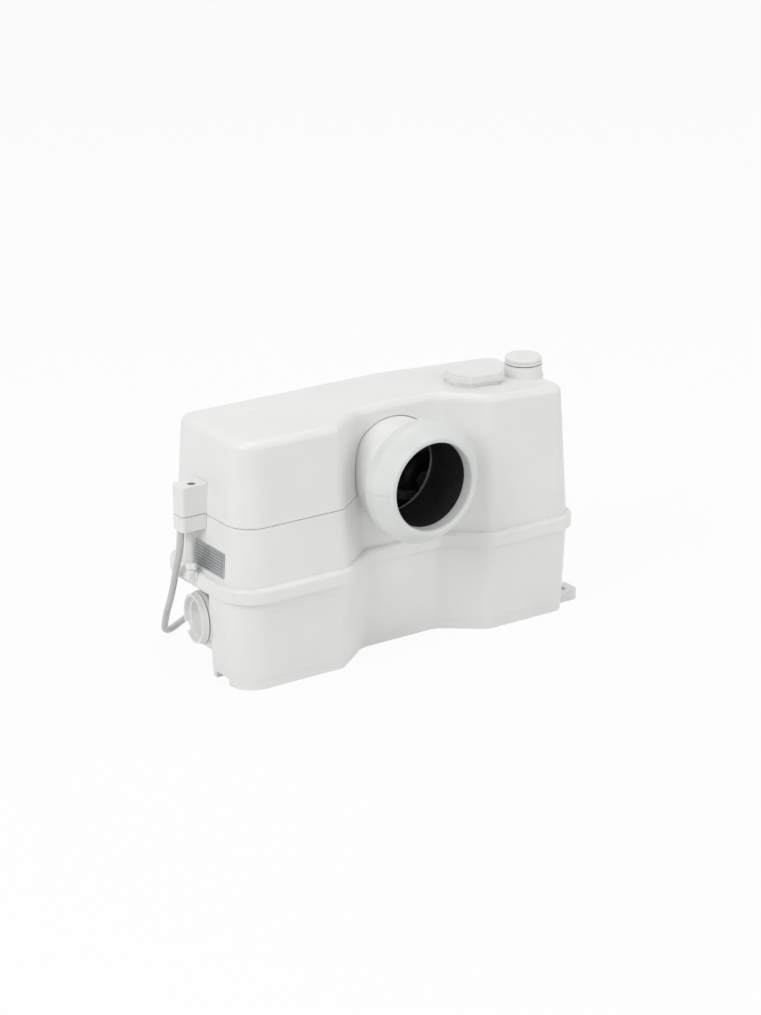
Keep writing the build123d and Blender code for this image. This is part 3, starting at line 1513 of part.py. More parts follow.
capacitor_low = deck_top + 2 * running_gap + capacitor_clip_wall
with BuildPart() as capacitor:
    with Locations((capacitor_x, capacitor_y, capacitor_low)):
        Cylinder(capacitor_radius, capacitor_height, align=standing)
    fillet(capacitor.edges().group_by(Axis.Z)[-1], radius=capacitor_clip_wall)
    with Locations((capacitor_x, capacitor_y, capacitor_low + capacitor_height)):
        with GridLocations(capacitor_radius, capacitor_radius, 2, 1):
            Box(board_thickness, capacitor_tag, capacitor_tag, align=standing)
save(capacitor.part, "capacitor")

board_x = partition_x - board_standoff - running_gap
board_mid_y = board_front + board_width / 2
with BuildPart() as control_board:
    with Locations((board_x - board_thickness / 2, board_mid_y, board_low + board_height / 2)):
        Box(board_thickness, board_width, board_height)
    relay_x = board_x - board_thickness - relay_depth / 2
    relay_z = board_low + board_height * relay_height_share
    relay_y = board_width / 2 - relay_width
    with Locations((relay_x, board_mid_y - relay_y, relay_z), (relay_x, board_mid_y + relay_y, relay_z)):
        Box(relay_depth, relay_width, relay_length)
save(control_board.part, "control_board")

with BuildPart() as terminal_block:
    with Locations((terminal_x, terminal_y, deck_top + running_gap)):
        Box(terminal_width, terminal_length, terminal_height, align=standing)
    with Locations((terminal_x, terminal_y, deck_top + running_gap + terminal_height)):
        with GridLocations(0, terminal_length / terminal_way_count, 1, terminal_way_count):
            Cylinder(terminal_way_radius, 2 * terminal_way_depth, mode=Mode.SUBTRACT)
save(terminal_block.part, "terminal_block")

lead_rise = housing_top - 2 * housing_wall - cord_diameter
lead_low = deck_top + terminal_height + 2 * running_gap
with BuildPart() as lead_in_cable:
    with BuildLine() as lead_path:
        FilletPolyline(
            (cable_x, cable_y, housing_low + seam_gap),
            (cable_x, cable_y, lead_rise),
            (terminal_x, cable_y, lead_rise),
            (terminal_x, cable_y, lead_low),
            radius=2 * cord_diameter - cord_radius,
        )
    with BuildSketch(Plane(origin=lead_path.line @ 0, z_dir=lead_path.line % 0)):
        Circle(cord_radius)
    sweep()
save(lead_in_cable.part, "lead_in_cable")


# Drain: angled nipple on the belt, hose, clip and plug
with BuildPart() as drain_nipple:
    with BuildSketch(drain_face):
        Circle(drain_pad_radius)
    extrude(amount=drain_pad_thickness)
    with BuildSketch(drain_face):
        Circle(drain_port_radius)
    extrude(amount=-belt_proud - tank_wall - overrun)
    with BuildSketch(drain_face):
        Circle(drain_hose_radius)
    extrude(amount=left_wall_x - drain_x + drain_hose_radius)
    drain_elbow_low = drain_port_height - drain_hose_radius
    with Locations((drain_x, drain_y, drain_elbow_low)):
        Cylinder(drain_hose_radius, drain_hose_low - running_gap - drain_elbow_low, align=standing)
        Cylinder(drain_nipple_radius, drain_nipple_top - drain_elbow_low, align=standing)
    with Locations((drain_x, drain_y, drain_port_height)):
        Cylinder(drain_port_bore, 2 * drain_pad_radius + drain_nipple_top, align=standing, mode=Mode.SUBTRACT)
    with BuildSketch(drain_face.offset(left_wall_x - drain_x)):
        Circle(drain_port_bore)
    extrude(amount=-belt_proud - tank_wall - 2 * overrun, mode=Mode.SUBTRACT)
save(drain_nipple.part, "drain_nipple")

hose_top = housing_low - running_gap - drain_plug_head
with BuildPart() as drain_hose:
    with BuildSketch(Plane.XY.offset(drain_hose_low)):
        with Locations((drain_x, drain_y)):
            Circle(drain_hose_radius)
            Circle(drain_nipple_radius + running_gap, mode=Mode.SUBTRACT)
    extrude(amount=hose_top - drain_hose_low)
save(drain_hose.part, "drain_hose")

with BuildPart() as drain_clip:
    with BuildSketch(Plane.XY.offset(drain_clip_low)):
        with Locations((drain_x, drain_y)):
            Circle(drain_hose_radius + running_gap + drain_clip_wall)
        with Locations((drain_x, drain_y - drain_hose_radius - drain_clip_ear / 2)):
            Rectangle(drain_clip_ear_width, drain_clip_ear)
        with Locations((drain_x, drain_y)):
            Circle(drain_hose_radius + running_gap, mode=Mode.SUBTRACT)
    extrude(amount=drain_clip_height)
save(drain_clip.part, "drain_clip")

with BuildPart() as drain_plug:
    with Locations((drain_x, drain_y, hose_top)):
        Cylinder(drain_hose_radius, drain_plug_head, align=standing)
        Cylinder(drain_nipple_radius, drain_plug_length, align=hanging)
save(drain_plug.part, "drain_plug")


# Fixing bracket in the right pocket, and its screw
tab_y = right_pocket_y
bracket_base = foot_proud
with BuildPart() as foot_bracket:
    with BuildSketch(Plane.XY.offset(bracket_base)):
        with Locations(((plinth_side + bracket_tongue_gap + side_reach) / 2, tab_y)):
            Rectangle(side_reach - plinth_side - bracket_tongue_gap, bracket_tab_width)
    extrude(amount=bracket_tab_height)
    fillet(foot_bracket.edges().filter_by(Axis.Z).group_by(Axis.X)[-1], radius=bracket_tab_radius)
    tongue_length = pocket_depth - bracket_tongue_gap
    with Locations((plinth_side - tongue_length, tab_y, bracket_base)):
        Box(
            tongue_length + bracket_tab_radius,
            pocket_width - 2 * bracket_tongue_gap,
            pocket_height - bracket_base - bracket_tongue_gap,
            align=(Align.MIN, Align.CENTER, Align.MIN),
        )
    with BuildSketch(Plane.XY):
        with Locations((bracket_slot_x, tab_y)):
            SlotOverall(bracket_slot_length, 2 * bracket_slot_radius, rotation=quarter_turn)
    extrude(amount=2 * bracket_tab_height, mode=Mode.SUBTRACT)
    with Locations((pocket_x + pocket_depth / 2, tab_y, bracket_base)):
        Cylinder(bracket_screw_radius + running_gap, 2 * bracket_tab_height, mode=Mode.SUBTRACT)
        Cylinder(
            bracket_screw_head_radius + running_gap,
            2 * (bracket_screw_head_height + running_gap),
            mode=Mode.SUBTRACT,
        )
save(foot_bracket.part, "foot_bracket")

with BuildPart() as bracket_screw:
    with Locations((pocket_x + pocket_depth / 2, tab_y, bracket_base)):
        Cylinder(bracket_screw_head_radius, bracket_screw_head_height, align=standing)
        Cylinder(bracket_screw_radius, pocket_height - bracket_base - running_gap, align=standing)
save(bracket_screw.part, "bracket_screw")


# Blank plate on the left wall
plate_mid = (plate_low + plate_high) / 2
plate_plane = Plane(
    origin=(-casing_side + upper_inset(plate_mid), (plate_front + plate_back) / 2, plate_mid),
    x_dir=(0, -1, 0),
    z_dir=Vector(-1, 0, 0).rotate(Axis.Y, upper_draft),
)
with BuildPart() as blank_plate:
    with BuildSketch(plate_plane):
        RectangleRounded(plate_back - plate_front, plate_high - plate_low, plate_radius)
    extrude(amount=plate_thickness)
save(blank_plate.part, "blank_plate")


def bend_radii(route):
    """Radius for each bend of a route: a share of the shorter run over the tangent of half the turn."""
    points = [Vector(*place) for place in route]
    radii = []
    for before, corner, after in zip(points, points[1:], points[2:]):
        arriving = corner - before
        leaving = after - corner
        half_turn = math.radians(arriving.get_angle(leaving) / 2)
        radii.append(bend_share * min(arriving.length, leaving.length) / math.tan(half_turn))
    return radii


def coil_point(turn):
    """Point of the coil's centre line after a number of clockwise turns from its start."""
    inward_turns = min(turn, coil_turns - turn)
    radius = coil_radius - coil_pitch * inward_turns
    climb = min(max((turn - coil_turns / 2) * 2 + 1 / 2, 0), 1)
    lift = coil_layer_rise * (3 * climb**2 - 2 * climb**3)
    angle = math.pi / 2 - 2 * math.pi * turn
    return Vector(
        coil_x + radius * math.cos(angle), coil_y + radius * math.sin(angle), cord_floor + lift
    )


def coil_direction(turn):
    """Direction of the coil's centre line, level and square to the radius where a layer starts or turns."""
    angle = math.pi / 2 - 2 * math.pi * turn
    level = Vector(math.sin(angle), -math.cos(angle), 0)
    step = 1 / coil_steps
    along = coil_point(min(turn + step, coil_turns)) - coil_point(max(turn - step, 0))
    turning = min(turn, abs(turn - coil_turns / 2), coil_turns - turn) < step
    drawn_in = level * along.dot(level) if turning else along - Vector(0, 0, along.Z)
    rising = Vector(0, 0, along.Z)
    return (drawn_in + rising).normalized()


def biarc_joint(start, start_direction, end, end_direction):
    """Point where the two arcs of a biarc meet."""
    chord = end - start
    total = start_direction + end_direction
    spread = 2 * (1 - start_direction.dot(end_direction))
    lean = chord.dot(total)
    reach_along = (-lean + math.sqrt(lean**2 + spread * chord.dot(chord))) / spread
    return (start + start_direction * reach_along + end - end_direction * reach_along) / 2


# Mains cord: the free stretch down to the floor and round behind the casing
cord_radii = bend_radii(cord_route)
print("cord bend radii", [round(radius, 1) for radius in cord_radii])
with BuildPart() as power_cord:
    with BuildLine() as cord_path:
        FilletPolyline(*cord_route, radius=cord_radii)
    with BuildSketch(Plane(origin=cord_path.line @ 0, z_dir=cord_path.line % 0)):
        Circle(cord_radius)
    sweep()
save(power_cord.part, "power_cord")
cord_section = math.pi * cord_radius**2
cord_length = sum(edge.length for edge in cord_path.edges())
print("cord length", round(cord_length, 1))
print("cord volume ratio", power_cord.part.volume / (cord_section * cord_length))


# Coil of the put-away length, two layers, with straight ends
coil_x = cord_route[-1][0] + cord_diameter
coil_y = cord_route[-1][1] - coil_radius
quarters = [step / coil_steps_per_turn for step in range(coil_steps_per_turn * coil_turns + 1)]
with BuildPart() as cord_coil:
    with BuildLine() as coil_path:
        start = Vector(*cord_route[-1])
        Line(start, coil_point(0))
        for turn, next_turn in zip(quarters, quarters[1:]):
            first = coil_point(turn)
            last = coil_point(next_turn)
            direction = coil_direction(turn)
            joint = biarc_joint(first, direction, last, coil_direction(next_turn))
            arc = TangentArc(first, joint, tangent=direction)
            TangentArc(joint, last, tangent=arc % 1)
        coil_end = coil_point(coil_turns)
        Line(coil_end, coil_end + Vector(coil_tail, 0, 0))
    with BuildSketch(Plane(origin=coil_path.line @ 0, z_dir=coil_path.line % 0)):
        Circle(cord_radius)
    sweep()
save(cord_coil.part, "cord_coil")
coil_wire = Wire(coil_path.edges())
coil_length = coil_wire.length
print("coil length", round(coil_length, 1))
print("coil volume ratio", cord_coil.part.volume / (cord_section * coil_length))
samples = [coil_wire @ (sample / coil_samples) for sample in range(coil_samples + 1)]
skip = math.ceil(coil_skip_share * cord_diameter * coil_samples / coil_length)
nearest = min(
    (samples[i] - samples[j]).length for i in range(coil_samples) for j in range(i + skip, coil_samples + 1)
)
print("coil least gap", round(nearest - cord_diameter, 2))


# Plug at the end of the coil, lying on its back with its pins up
plug_x = coil_end.X + coil_tail + plug_relief_length + plug_radius
plug_face = Plane(origin=(coil_end.X + coil_tail, coil_end.Y, coil_end.Z), x_dir=(0, 1, 0), z_dir=(1, 0, 0))
with BuildPart() as plug_body:
    with BuildSketch(plug_face):
        Circle(plug_relief_radius)
    with BuildSketch(plug_face.offset(plug_relief_length + plug_round)):
        Circle(plug_relief_end_radius)
    loft(ruled=True)
    with BuildSketch(Plane.XY):
        with Locations((plug_x, coil_end.Y)):
            Circle(plug_radius)
    extrude(amount=plug_height)
    rims = plug_body.edges().filter_by(GeomType.CIRCLE).group_by(Axis.Z)
    fillet([rims[0][0], rims[-1][0]], radius=plug_round)
save(plug_body.part, "plug_body")

with BuildPart() as plug_pins:
    with Locations((plug_x, coil_end.Y, plug_height)):
        with GridLocations(0, plug_pin_spacing, 1, 2):
            Cylinder(plug_pin_radius, plug_pin_length, align=standing)
    fillet(plug_pins.edges().group_by(Axis.Z)[-1], radius=plug_pin_round)
save(plug_pins.part, "plug_pins")
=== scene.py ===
import logging
import math
from dataclasses import dataclass, field
from enum import Enum
from typing import Optional, Union

import bmesh
import bpy
from mathutils import Euler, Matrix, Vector


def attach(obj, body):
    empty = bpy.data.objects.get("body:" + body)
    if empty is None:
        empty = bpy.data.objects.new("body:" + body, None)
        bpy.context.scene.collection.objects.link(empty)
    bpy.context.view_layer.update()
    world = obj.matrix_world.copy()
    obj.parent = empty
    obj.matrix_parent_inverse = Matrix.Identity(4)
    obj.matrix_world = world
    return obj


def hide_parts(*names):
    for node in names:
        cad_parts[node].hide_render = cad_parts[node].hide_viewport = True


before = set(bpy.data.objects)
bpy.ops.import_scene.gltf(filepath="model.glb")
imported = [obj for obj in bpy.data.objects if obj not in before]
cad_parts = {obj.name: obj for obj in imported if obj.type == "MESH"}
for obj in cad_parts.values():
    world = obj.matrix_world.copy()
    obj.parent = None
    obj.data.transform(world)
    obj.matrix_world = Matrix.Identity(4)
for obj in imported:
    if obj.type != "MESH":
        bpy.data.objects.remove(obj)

LOG = logging.getLogger("macerator_pump")

MM = 0.001
WHITE = (1.0, 1.0, 1.0, 1.0)

# Inputs and output of a Mix node that mixes colours
COLOUR_A = 6
COLOUR_B = 7
MIXED = 2

# A Wave texture of scale 1 runs through this many radians in a metre
WAVE_RADIANS = 20.0

# Most of a Noise texture's values lie between these two
NOISE_LOW = 0.3
NOISE_HIGH = 0.7

# Levels of detail in noise, from smooth waves to mottled wear
SMOOTH = 1.0
FINE = 2.0
CLOUDY = 3.0
MOTTLED = 4.0

# Roughness changes over this part of a colour patch
WEAR_PARTS = 3

Socket = bpy.types.NodeSocket
Value = Union[Socket, float, tuple]


def linear(screen: str) -> tuple[float, float, float, float]:
    """Turns a screen colour into Blender's linear colour.

    Args:
        screen: The colour as hex sRGB.

    Returns:
        Red, green, blue and alpha, linear.
    """
    knee, slope, offset, gamma = 0.04045, 12.92, 0.055, 2.4
    channels = [int(screen[start:start + 2], 16) / 255 for start in (0, 2, 4)]
    red, green, blue = (
        value / slope if value <= knee else ((value + offset) / (1 + offset)) ** gamma for value in channels
    )
    return (red, green, blue, 1.0)


def add_node(
    tree: bpy.types.NodeTree,
    kind: str,
    links: dict[Union[int, str], Value],
    settings: Optional[dict[str, object]] = None,
) -> bpy.types.Node:
    """Adds a node with its settings and links.

    Args:
        tree: Node tree of a material or the world.
        kind: Blender's name of the node's type.
        links: For each input, the socket that feeds it or the value it holds.
        settings: The node's own settings.

    Returns:
        The node.
    """
    node = tree.nodes.new(kind)
    for name, value in (settings or {}).items():
        setattr(node, name, value)
    for name, value in links.items():
        if isinstance(value, Socket):
            tree.links.new(value, node.inputs[name])
        else:
            node.inputs[name].default_value = value
    return node


def waves_per_metre(spacing: float) -> float:
    """Scale of a Wave texture whose stripes lie this many millimetres apart."""
    return 2 * math.pi / (WAVE_RADIANS * spacing * MM)


def features_per_metre(size: float) -> float:
    """Scale of a Noise texture whose features are this many millimetres wide."""
    return 1 / (size * MM)


class Across(Enum):
    """Direction across a set of stripes."""

    Y = "Y"
    Z = "Z"
    DIAGONAL = "DIAGONAL"


@dataclass(frozen=True)
class Finish:
    """How one real material looks. Sizes are in millimetres.

    Attributes:
        name: Common name of the material and how its surface was made.
        tint: Main colour, as hex sRGB.
        shade: Colour of the slightly darker patches.
        rough: Lowest and highest roughness.
        grain: Width of the fine grain.
        grain_depth: Height of the grain.
        patch: Width of the colour patches.
        metallic: 0 for plastic and rubber, 1 for bare metal.
        ior: Index of refraction.
        coat: Weight of a clear coat.
        sheen: Weight of a soft sheen.
    """

    name: str
    tint: str
    shade: str
    rough: tuple[float, float]
    grain: float = 0.6
    grain_depth: float = 0.007
    patch: float = 30.0
    metallic: float = 0.0
    ior: float = 1.5
    coat: float = 0.0
    sheen: float = 0.0

    def material(self) -> bpy.types.Material:
        """Makes the material, or gives the one made before.

        Returns:
            The material.
        """
        made = bpy.data.materials.get(self.name)
        if made is not None:
            return made
        made = bpy.data.materials.new(self.name)
        made.use_nodes = True
        tree = made.node_tree
        tree.nodes.clear()
        place = add_node(tree, "ShaderNodeTexCoord", {}).outputs["Object"]
        colour, normal = self.skin(tree, place)
        colour, normal = self.detail(tree, place, colour, normal)
        wear = add_node(
            tree,
            "ShaderNodeTexNoise",
            {"Vector": place, "Scale": features_per_metre(self.patch / WEAR_PARTS), "Detail": MOTTLED},
        )
        low, high = self.rough
        rough = add_node(
            tree,
            "ShaderNodeMapRange",
            {
                "Value": wear.outputs[0],
                "From Min": NOISE_LOW,
                "From Max": NOISE_HIGH,
                "To Min": low,
                "To Max": high,
            },
        )
        shader = add_node(
            tree,
            "ShaderNodeBsdfPrincipled",
            {
                "Base Color": colour,
                "Roughness": rough.outputs[0],
                "Normal": normal,
                "Metallic": self.metallic,
                "IOR": self.ior,
                "Coat Weight": self.coat,
                "Sheen Weight": self.sheen,
            },
        )
        add_node(tree, "ShaderNodeOutputMaterial", {"Surface": shader.outputs[0]})
        return made

    def skin(self, tree: bpy.types.NodeTree, place: Socket) -> tuple[Socket, Socket]:
        """Soft patches of colour under a fine grain.

        Args:
            tree: The material's node tree.
            place: Coordinates on the object, in metres.

        Returns:
            Colour and normal.
        """
        cloud = add_node(
            tree,
            "ShaderNodeTexNoise",
            {"Vector": place, "Scale": features_per_metre(self.patch), "Detail": CLOUDY},
        )
        share = add_node(
            tree,
            "ShaderNodeMapRange",
            {"Value": cloud.outputs[0], "From Min": NOISE_LOW, "From Max": NOISE_HIGH},
        )
        colour = add_node(
            tree,
            "ShaderNodeMix",
            {0: share.outputs[0], COLOUR_A: linear(self.tint), COLOUR_B: linear(self.shade)},
            {"data_type": "RGBA"},
        )
        speck = add_node(
            tree,
            "ShaderNodeTexNoise",
            {"Vector": place, "Scale": features_per_metre(self.grain), "Detail": FINE},
        )
        relief = add_node(
            tree,
            "ShaderNodeBump",
            {"Height": speck.outputs[0], "Distance": self.grain_depth * MM, "Strength": 1.0},
        )
        return colour.outputs[MIXED], relief.outputs[0]

    def detail(
        self, tree: bpy.types.NodeTree, place: Socket, colour: Socket, normal: Socket
    ) -> tuple[Socket, Socket]:
        """What the surface shows beyond its grain: nothing more on a plain one."""
        return colour, normal


@dataclass(frozen=True)
class Moulding(Finish):
    """Moulded plastic or die-cast metal, with wide shallow sink waves.

    Attributes:
        sink: Width of the waves.
        sink_depth: Height of the waves.
    """

    sink: float = 55.0
    sink_depth: float = 0.12

    def detail(
        self, tree: bpy.types.NodeTree, place: Socket, colour: Socket, normal: Socket
    ) -> tuple[Socket, Socket]:
        """Adds the sink waves.

        Args:
            tree: The material's node tree.
            place: Coordinates on the object, in metres.
            colour: Colour so far.
            normal: Normal so far.

        Returns:
            Colour and normal.
        """
        wave = add_node(
            tree,
            "ShaderNodeTexNoise",
            {"Vector": place, "Scale": features_per_metre(self.sink), "Detail": SMOOTH},
        )
        relief = add_node(
            tree,
            "ShaderNodeBump",
            {"Height": wave.outputs[0], "Distance": self.sink_depth * MM, "Normal": normal},
        )
        return colour, relief.outputs[0]


@dataclass(frozen=True)
class MouldedRubber(Finish):
    """White rubber out of a two-part mould, with its parting line.

    Attributes:
        line: Colour in the parting line.
        line_height: Height of the line above the floor.
        line_width: Width of the line, drawn about twice as wide as real so that it shows.
        line_start: Place along Y behind which the line runs.
        line_depth: Height of the flash at the line.
    """

    line: str = "d2d4d3"
    line_height: float = 180.0
    line_width: float = 0.55
    line_start: float = -85.5
    line_depth: float = 0.15

    def detail(
        self, tree: bpy.types.NodeTree, place: Socket, colour: Socket, normal: Socket
    ) -> tuple[Socket, Socket]:
        """Draws the parting line at the collar's mid height.

        Args:
            tree: The material's node tree.
            place: Coordinates on the object, in metres.
            colour: Colour so far.
            normal: Normal so far.

        Returns:
            Colour and normal.
        """
        apart = add_node(tree, "ShaderNodeSeparateXYZ", {"Vector": place})
        near = add_node(
            tree,
            "ShaderNodeMath",
            {0: apart.outputs["Z"], 1: self.line_height * MM, 2: self.line_width * MM / 2},
            {"operation": "COMPARE"},
        )
        behind = add_node(
            tree,
            "ShaderNodeMath",
            {0: apart.outputs["Y"], 1: self.line_start * MM},
            {"operation": "GREATER_THAN"},
        )
        shown = add_node(
            tree, "ShaderNodeMath", {0: near.outputs[0], 1: behind.outputs[0]}, {"operation": "MULTIPLY"}
        )
        drawn = add_node(
            tree,
            "ShaderNodeMix",
            {0: shown.outputs[0], COLOUR_A: colour, COLOUR_B: linear(self.line)},
            {"data_type": "RGBA"},
        )
        relief = add_node(
            tree,
            "ShaderNodeBump",
            {"Height": shown.outputs[0], "Distance": self.line_depth * MM, "Normal": normal},
        )
        return drawn.outputs[MIXED], relief.outputs[0]


@dataclass(frozen=True)
class Brushed(Finish):
    """Metal with fine marks all one way.

    Attributes:
        mark: Length of a mark.
        stretch: How much narrower a mark is than long.
        mark_depth: Depth of the marks.
    """

    mark: float = 1.0
    stretch: float = 14.0
    mark_depth: float = 0.006

    def detail(
        self, tree: bpy.types.NodeTree, place: Socket, colour: Socket, normal: Socket
    ) -> tuple[Socket, Socket]:
        """Adds the marks.

        Args:
            tree: The material's node tree.
            place: Coordinates on the object, in metres.
            colour: Colour so far.
            normal: Normal so far.

        Returns:
            Colour and normal.
        """
        drawn = add_node(tree, "ShaderNodeMapping", {"Vector": place, "Scale": (1.0, 1.0, self.stretch)})
        marks = add_node(
            tree,
            "ShaderNodeTexNoise",
            {"Vector": drawn.outputs[0], "Scale": features_per_metre(self.mark), "Detail": CLOUDY},
        )
        relief = add_node(
            tree,
            "ShaderNodeBump",
            {"Height": marks.outputs[0], "Distance": self.mark_depth * MM, "Normal": normal},
        )
        return colour, relief.outputs[0]


@dataclass(frozen=True)
class RuledPlate(Brushed):
    """Thin brushed plate with plain ruled bars.

    Attributes:
        bar: Colour of the bars.
        pitch: Spacing of the bars.
        bar_share: Part of the spacing that a bar fills.
        low: Height of the lowest bar.
        high: Height above which there are none.
        front: Where the bars start along Y.
        back: Where they end.
    """

    bar: str = "6c6f71"
    pitch: float = 3.0
    bar_share: float = 0.30
    low: float = 111.5
    high: float = 133.0
    front: float = -22.5
    back: float = 26.5

    def detail(
        self, tree: bpy.types.NodeTree, place: Socket, colour: Socket, normal: Socket
    ) -> tuple[Socket, Socket]:
        """Draws the bars over the brushing.

        Args:
            tree: The material's node tree.
            place: Coordinates on the object, in metres.
            colour: Colour so far.
            normal: Normal so far.

        Returns:
            Colour and normal.
        """
        colour, normal = super().detail(tree, place, colour, normal)
        apart = add_node(tree, "ShaderNodeSeparateXYZ", {"Vector": place})
        steps = add_node(
            tree,
            "ShaderNodeMapRange",
            {
                "Value": apart.outputs["Z"],
                "From Min": self.low * MM,
                "From Max": (self.low + self.pitch) * MM,
                "To Min": 0.0,
                "To Max": 1.0,
            },
            {"clamp": False},
        )
        along = add_node(tree, "ShaderNodeMath", {0: steps.outputs[0]}, {"operation": "FRACT"})
        shown = add_node(
            tree, "ShaderNodeMath", {0: along.outputs[0], 1: self.bar_share}, {"operation": "LESS_THAN"}
        ).outputs[0]
        limits = (
            ("Z", (self.low + self.high) / 2, (self.high - self.low) / 2),
            ("Y", (self.front + self.back) / 2, (self.back - self.front) / 2),
        )
        for axis, middle, half in limits:
            inside = add_node(
                tree,
                "ShaderNodeMath",
                {0: apart.outputs[axis], 1: middle * MM, 2: half * MM},
                {"operation": "COMPARE"},
            )
            shown = add_node(
                tree, "ShaderNodeMath", {0: shown, 1: inside.outputs[0]}, {"operation": "MULTIPLY"}
            ).outputs[0]
        drawn = add_node(
            tree,
            "ShaderNodeMix",
            {0: shown, COLOUR_A: colour, COLOUR_B: linear(self.bar)},
            {"data_type": "RGBA"},
        )
        return drawn.outputs[MIXED], normal


@dataclass(frozen=True)
class Striped(Finish):
    """Thin sheets, wires or threads side by side.

    Attributes:
        spacing: Spacing of the stripes.
        stripe_depth: Height of a stripe.
        across: Direction across the stripes.
        wander: How far the stripes stray from straight.
        share: How far a stripe's colour goes to the shade.
    """

    spacing: float = 0.8
    stripe_depth: float = 0.1
    across: Across = Across.Z
    wander: float = 0.0
    share: float = 0.6

    def detail(
        self, tree: bpy.types.NodeTree, place: Socket, colour: Socket, normal: Socket
    ) -> tuple[Socket, Socket]:
        """Adds the stripes.

        Args:
            tree: The material's node tree.
            place: Coordinates on the object, in metres.
            colour: Colour so far.
            normal: Normal so far.

        Returns:
            Colour and normal.
        """
        stripes = add_node(
            tree,
            "ShaderNodeTexWave",
            {"Vector": place, "Scale": waves_per_metre(self.spacing), "Distortion": self.wander},
            {"wave_type": "BANDS", "bands_direction": self.across.value},
        )
        height = stripes.outputs["Fac"]
        part = add_node(tree, "ShaderNodeMath", {0: height, 1: self.share}, {"operation": "MULTIPLY"})
        drawn = add_node(
            tree,
            "ShaderNodeMix",
            {0: part.outputs[0], COLOUR_A: colour, COLOUR_B: linear(self.shade)},
            {"data_type": "RGBA"},
        )
        relief = add_node(
            tree, "ShaderNodeBump", {"Height": height, "Distance": self.stripe_depth * MM, "Normal": normal}
        )
        return drawn.outputs[MIXED], relief.outputs[0]


# White ABS from a polished mould: pale, a soft broad highlight and faint sink waves
CASING_ABS = Moulding("injection_moulded_abs_casing", "eeefed", "e9eae8", (0.36, 0.44), patch=60.0, ior=1.54)
# The cover is a second moulding of the same ABS, a touch smoother
COVER_ABS = Moulding("injection_moulded_abs_cover", "eeefed", "eaebe9", (0.33, 0.41), patch=70.0, ior=1.54)
# Small polypropylene caps and lids: a tighter highlight than the casing's
CAP_POLYPROPYLENE = Moulding(
    "injection_moulded_polypropylene", "edeeec", "e6e7e5", (0.30, 0.38), 0.5, 0.005, 20.0, ior=1.49, sink=30.0
)
# Glass-filled polypropylene of the valve: slightly greyer and duller
VALVE_POLYPROPYLENE = Moulding(
    "glass_filled_polypropylene_moulded", "e9eae8", "dfe0de", (0.42, 0.52), 0.4, 0.010, 18.0, ior=1.49,
    sink=30.0,
)
# Soft white EPDM: dull with a broad glow at its rounded lip and a fine parting line
COLLAR_EPDM = MouldedRubber(
    "compression_moulded_white_epdm", "e3e5e3", "dadcda", (0.46, 0.56), 0.45, 0.012, 30.0, ior=1.52,
    sheen=0.08,
)
# Black polyethylene lining whose near-black colour is also painted shade for the dark inside of the inlet:
# dark grey where light falls on its satin wall
SLEEVE_BLACK_AND_PAINTED_SHADE = Finish(
    "black_polyethylene_and_painted_shade", "2c2c2e", "222224", (0.40, 0.52), 0.5, 0.010, 18.0, ior=1.51
)
# Brushed aluminium foil plate with printed bars
PLATE_ALUMINIUM = RuledPlate(
    "brushed_aluminium_plate", "b9bcbd", "a4a7a9", (0.34, 0.44), 0.25, 0.002, 8.0, metallic=0.6
)
# Grey nylon, dull from a spark-eroded mould
GREY_NYLON = Finish("spark_finish_grey_nylon", "8f9192", "7d7f80", (0.48, 0.58), 0.5, 0.010, 15.0, ior=1.53)
# Black phenolic and nylon of switch parts
BLACK_NYLON = Finish("spark_finish_black_nylon", "232325", "19191b", (0.44, 0.54), 0.5, 0.010, 15.0, ior=1.53)
# Glass-filled black pump parts: long fibres make the surface slightly streaky
PUMP_POLYAMIDE = Finish(
    "glass_filled_polyamide_moulded", "38393b", "2a2b2d", (0.38, 0.50), 0.6, 0.012, 22.0, ior=1.53
)
# Black nitrile seals: matt, with a dusty bloom
SEAL_NITRILE = Finish(
    "compression_moulded_nitrile", "252526", "1b1b1c", (0.62, 0.74), 0.4, 0.014, 12.0, ior=1.52, sheen=0.1
)
# Black feet of softer rubber, rougher still
FOOT_RUBBER = Finish(
    "moulded_foot_rubber", "2c2c2d", "222223", (0.66, 0.80), 0.5, 0.018, 12.0, ior=1.52, sheen=0.1
)
# Off-white PVC sheath, drawn through a die: soft gloss along its length
CORD_PVC = Finish("extruded_pvc_sheath", "cfd0cf", "c3c4c3", (0.40, 0.50), 0.5, 0.008, 25.0, ior=1.53)
# The plug is moulded on in the same PVC
PLUG_PVC = Moulding("moulded_on_pvc", "d3d4d3", "c8c9c8", (0.36, 0.46), 0.5, 0.008, 15.0, ior=1.53, sink=14.0)
# Milky silicone drain hose
HOSE_SILICONE = Finish(
    "extruded_milky_silicone", "e3e4e1", "d8d9d6", (0.34, 0.44), 0.5, 0.006, 12.0, ior=1.41
)
# Zinc-plated screws, turned
ZINC_STEEL = Brushed(
    "zinc_plated_turned_steel", "a3a4a6", "8b8c8e", (0.28, 0.40), 0.2, 0.004, 3.0, metallic=1.0
)
# Stainless steel, brushed
STAINLESS = Brushed(
    "brushed_stainless_steel", "b2b3b5", "9fa0a2", (0.26, 0.38), 0.2, 0.004, 5.0, metallic=1.0
)
# Ground shaft and bearing rings: the brightest metal inside
GROUND_STEEL = Brushed(
    "ground_bearing_steel", "c3c4c6", "aeafb1", (0.14, 0.24), 0.2, 0.002, 6.0, metallic=1.0
)
# Nickel-plated plug pins
NICKEL_BRASS = Brushed("nickel_plated_brass", "cac7be", "b3b0a6", (0.16, 0.26), 0.2, 0.002, 4.0, metallic=1.0)
# Die-cast aluminium of the motor: coarse grey skin
CAST_ALUMINIUM = Moulding(
    "die_cast_aluminium", "989a9c", "828486", (0.45, 0.60), 0.9, 0.030, 10.0, metallic=1.0, sink=2.4,
    sink_depth=0.05,
)
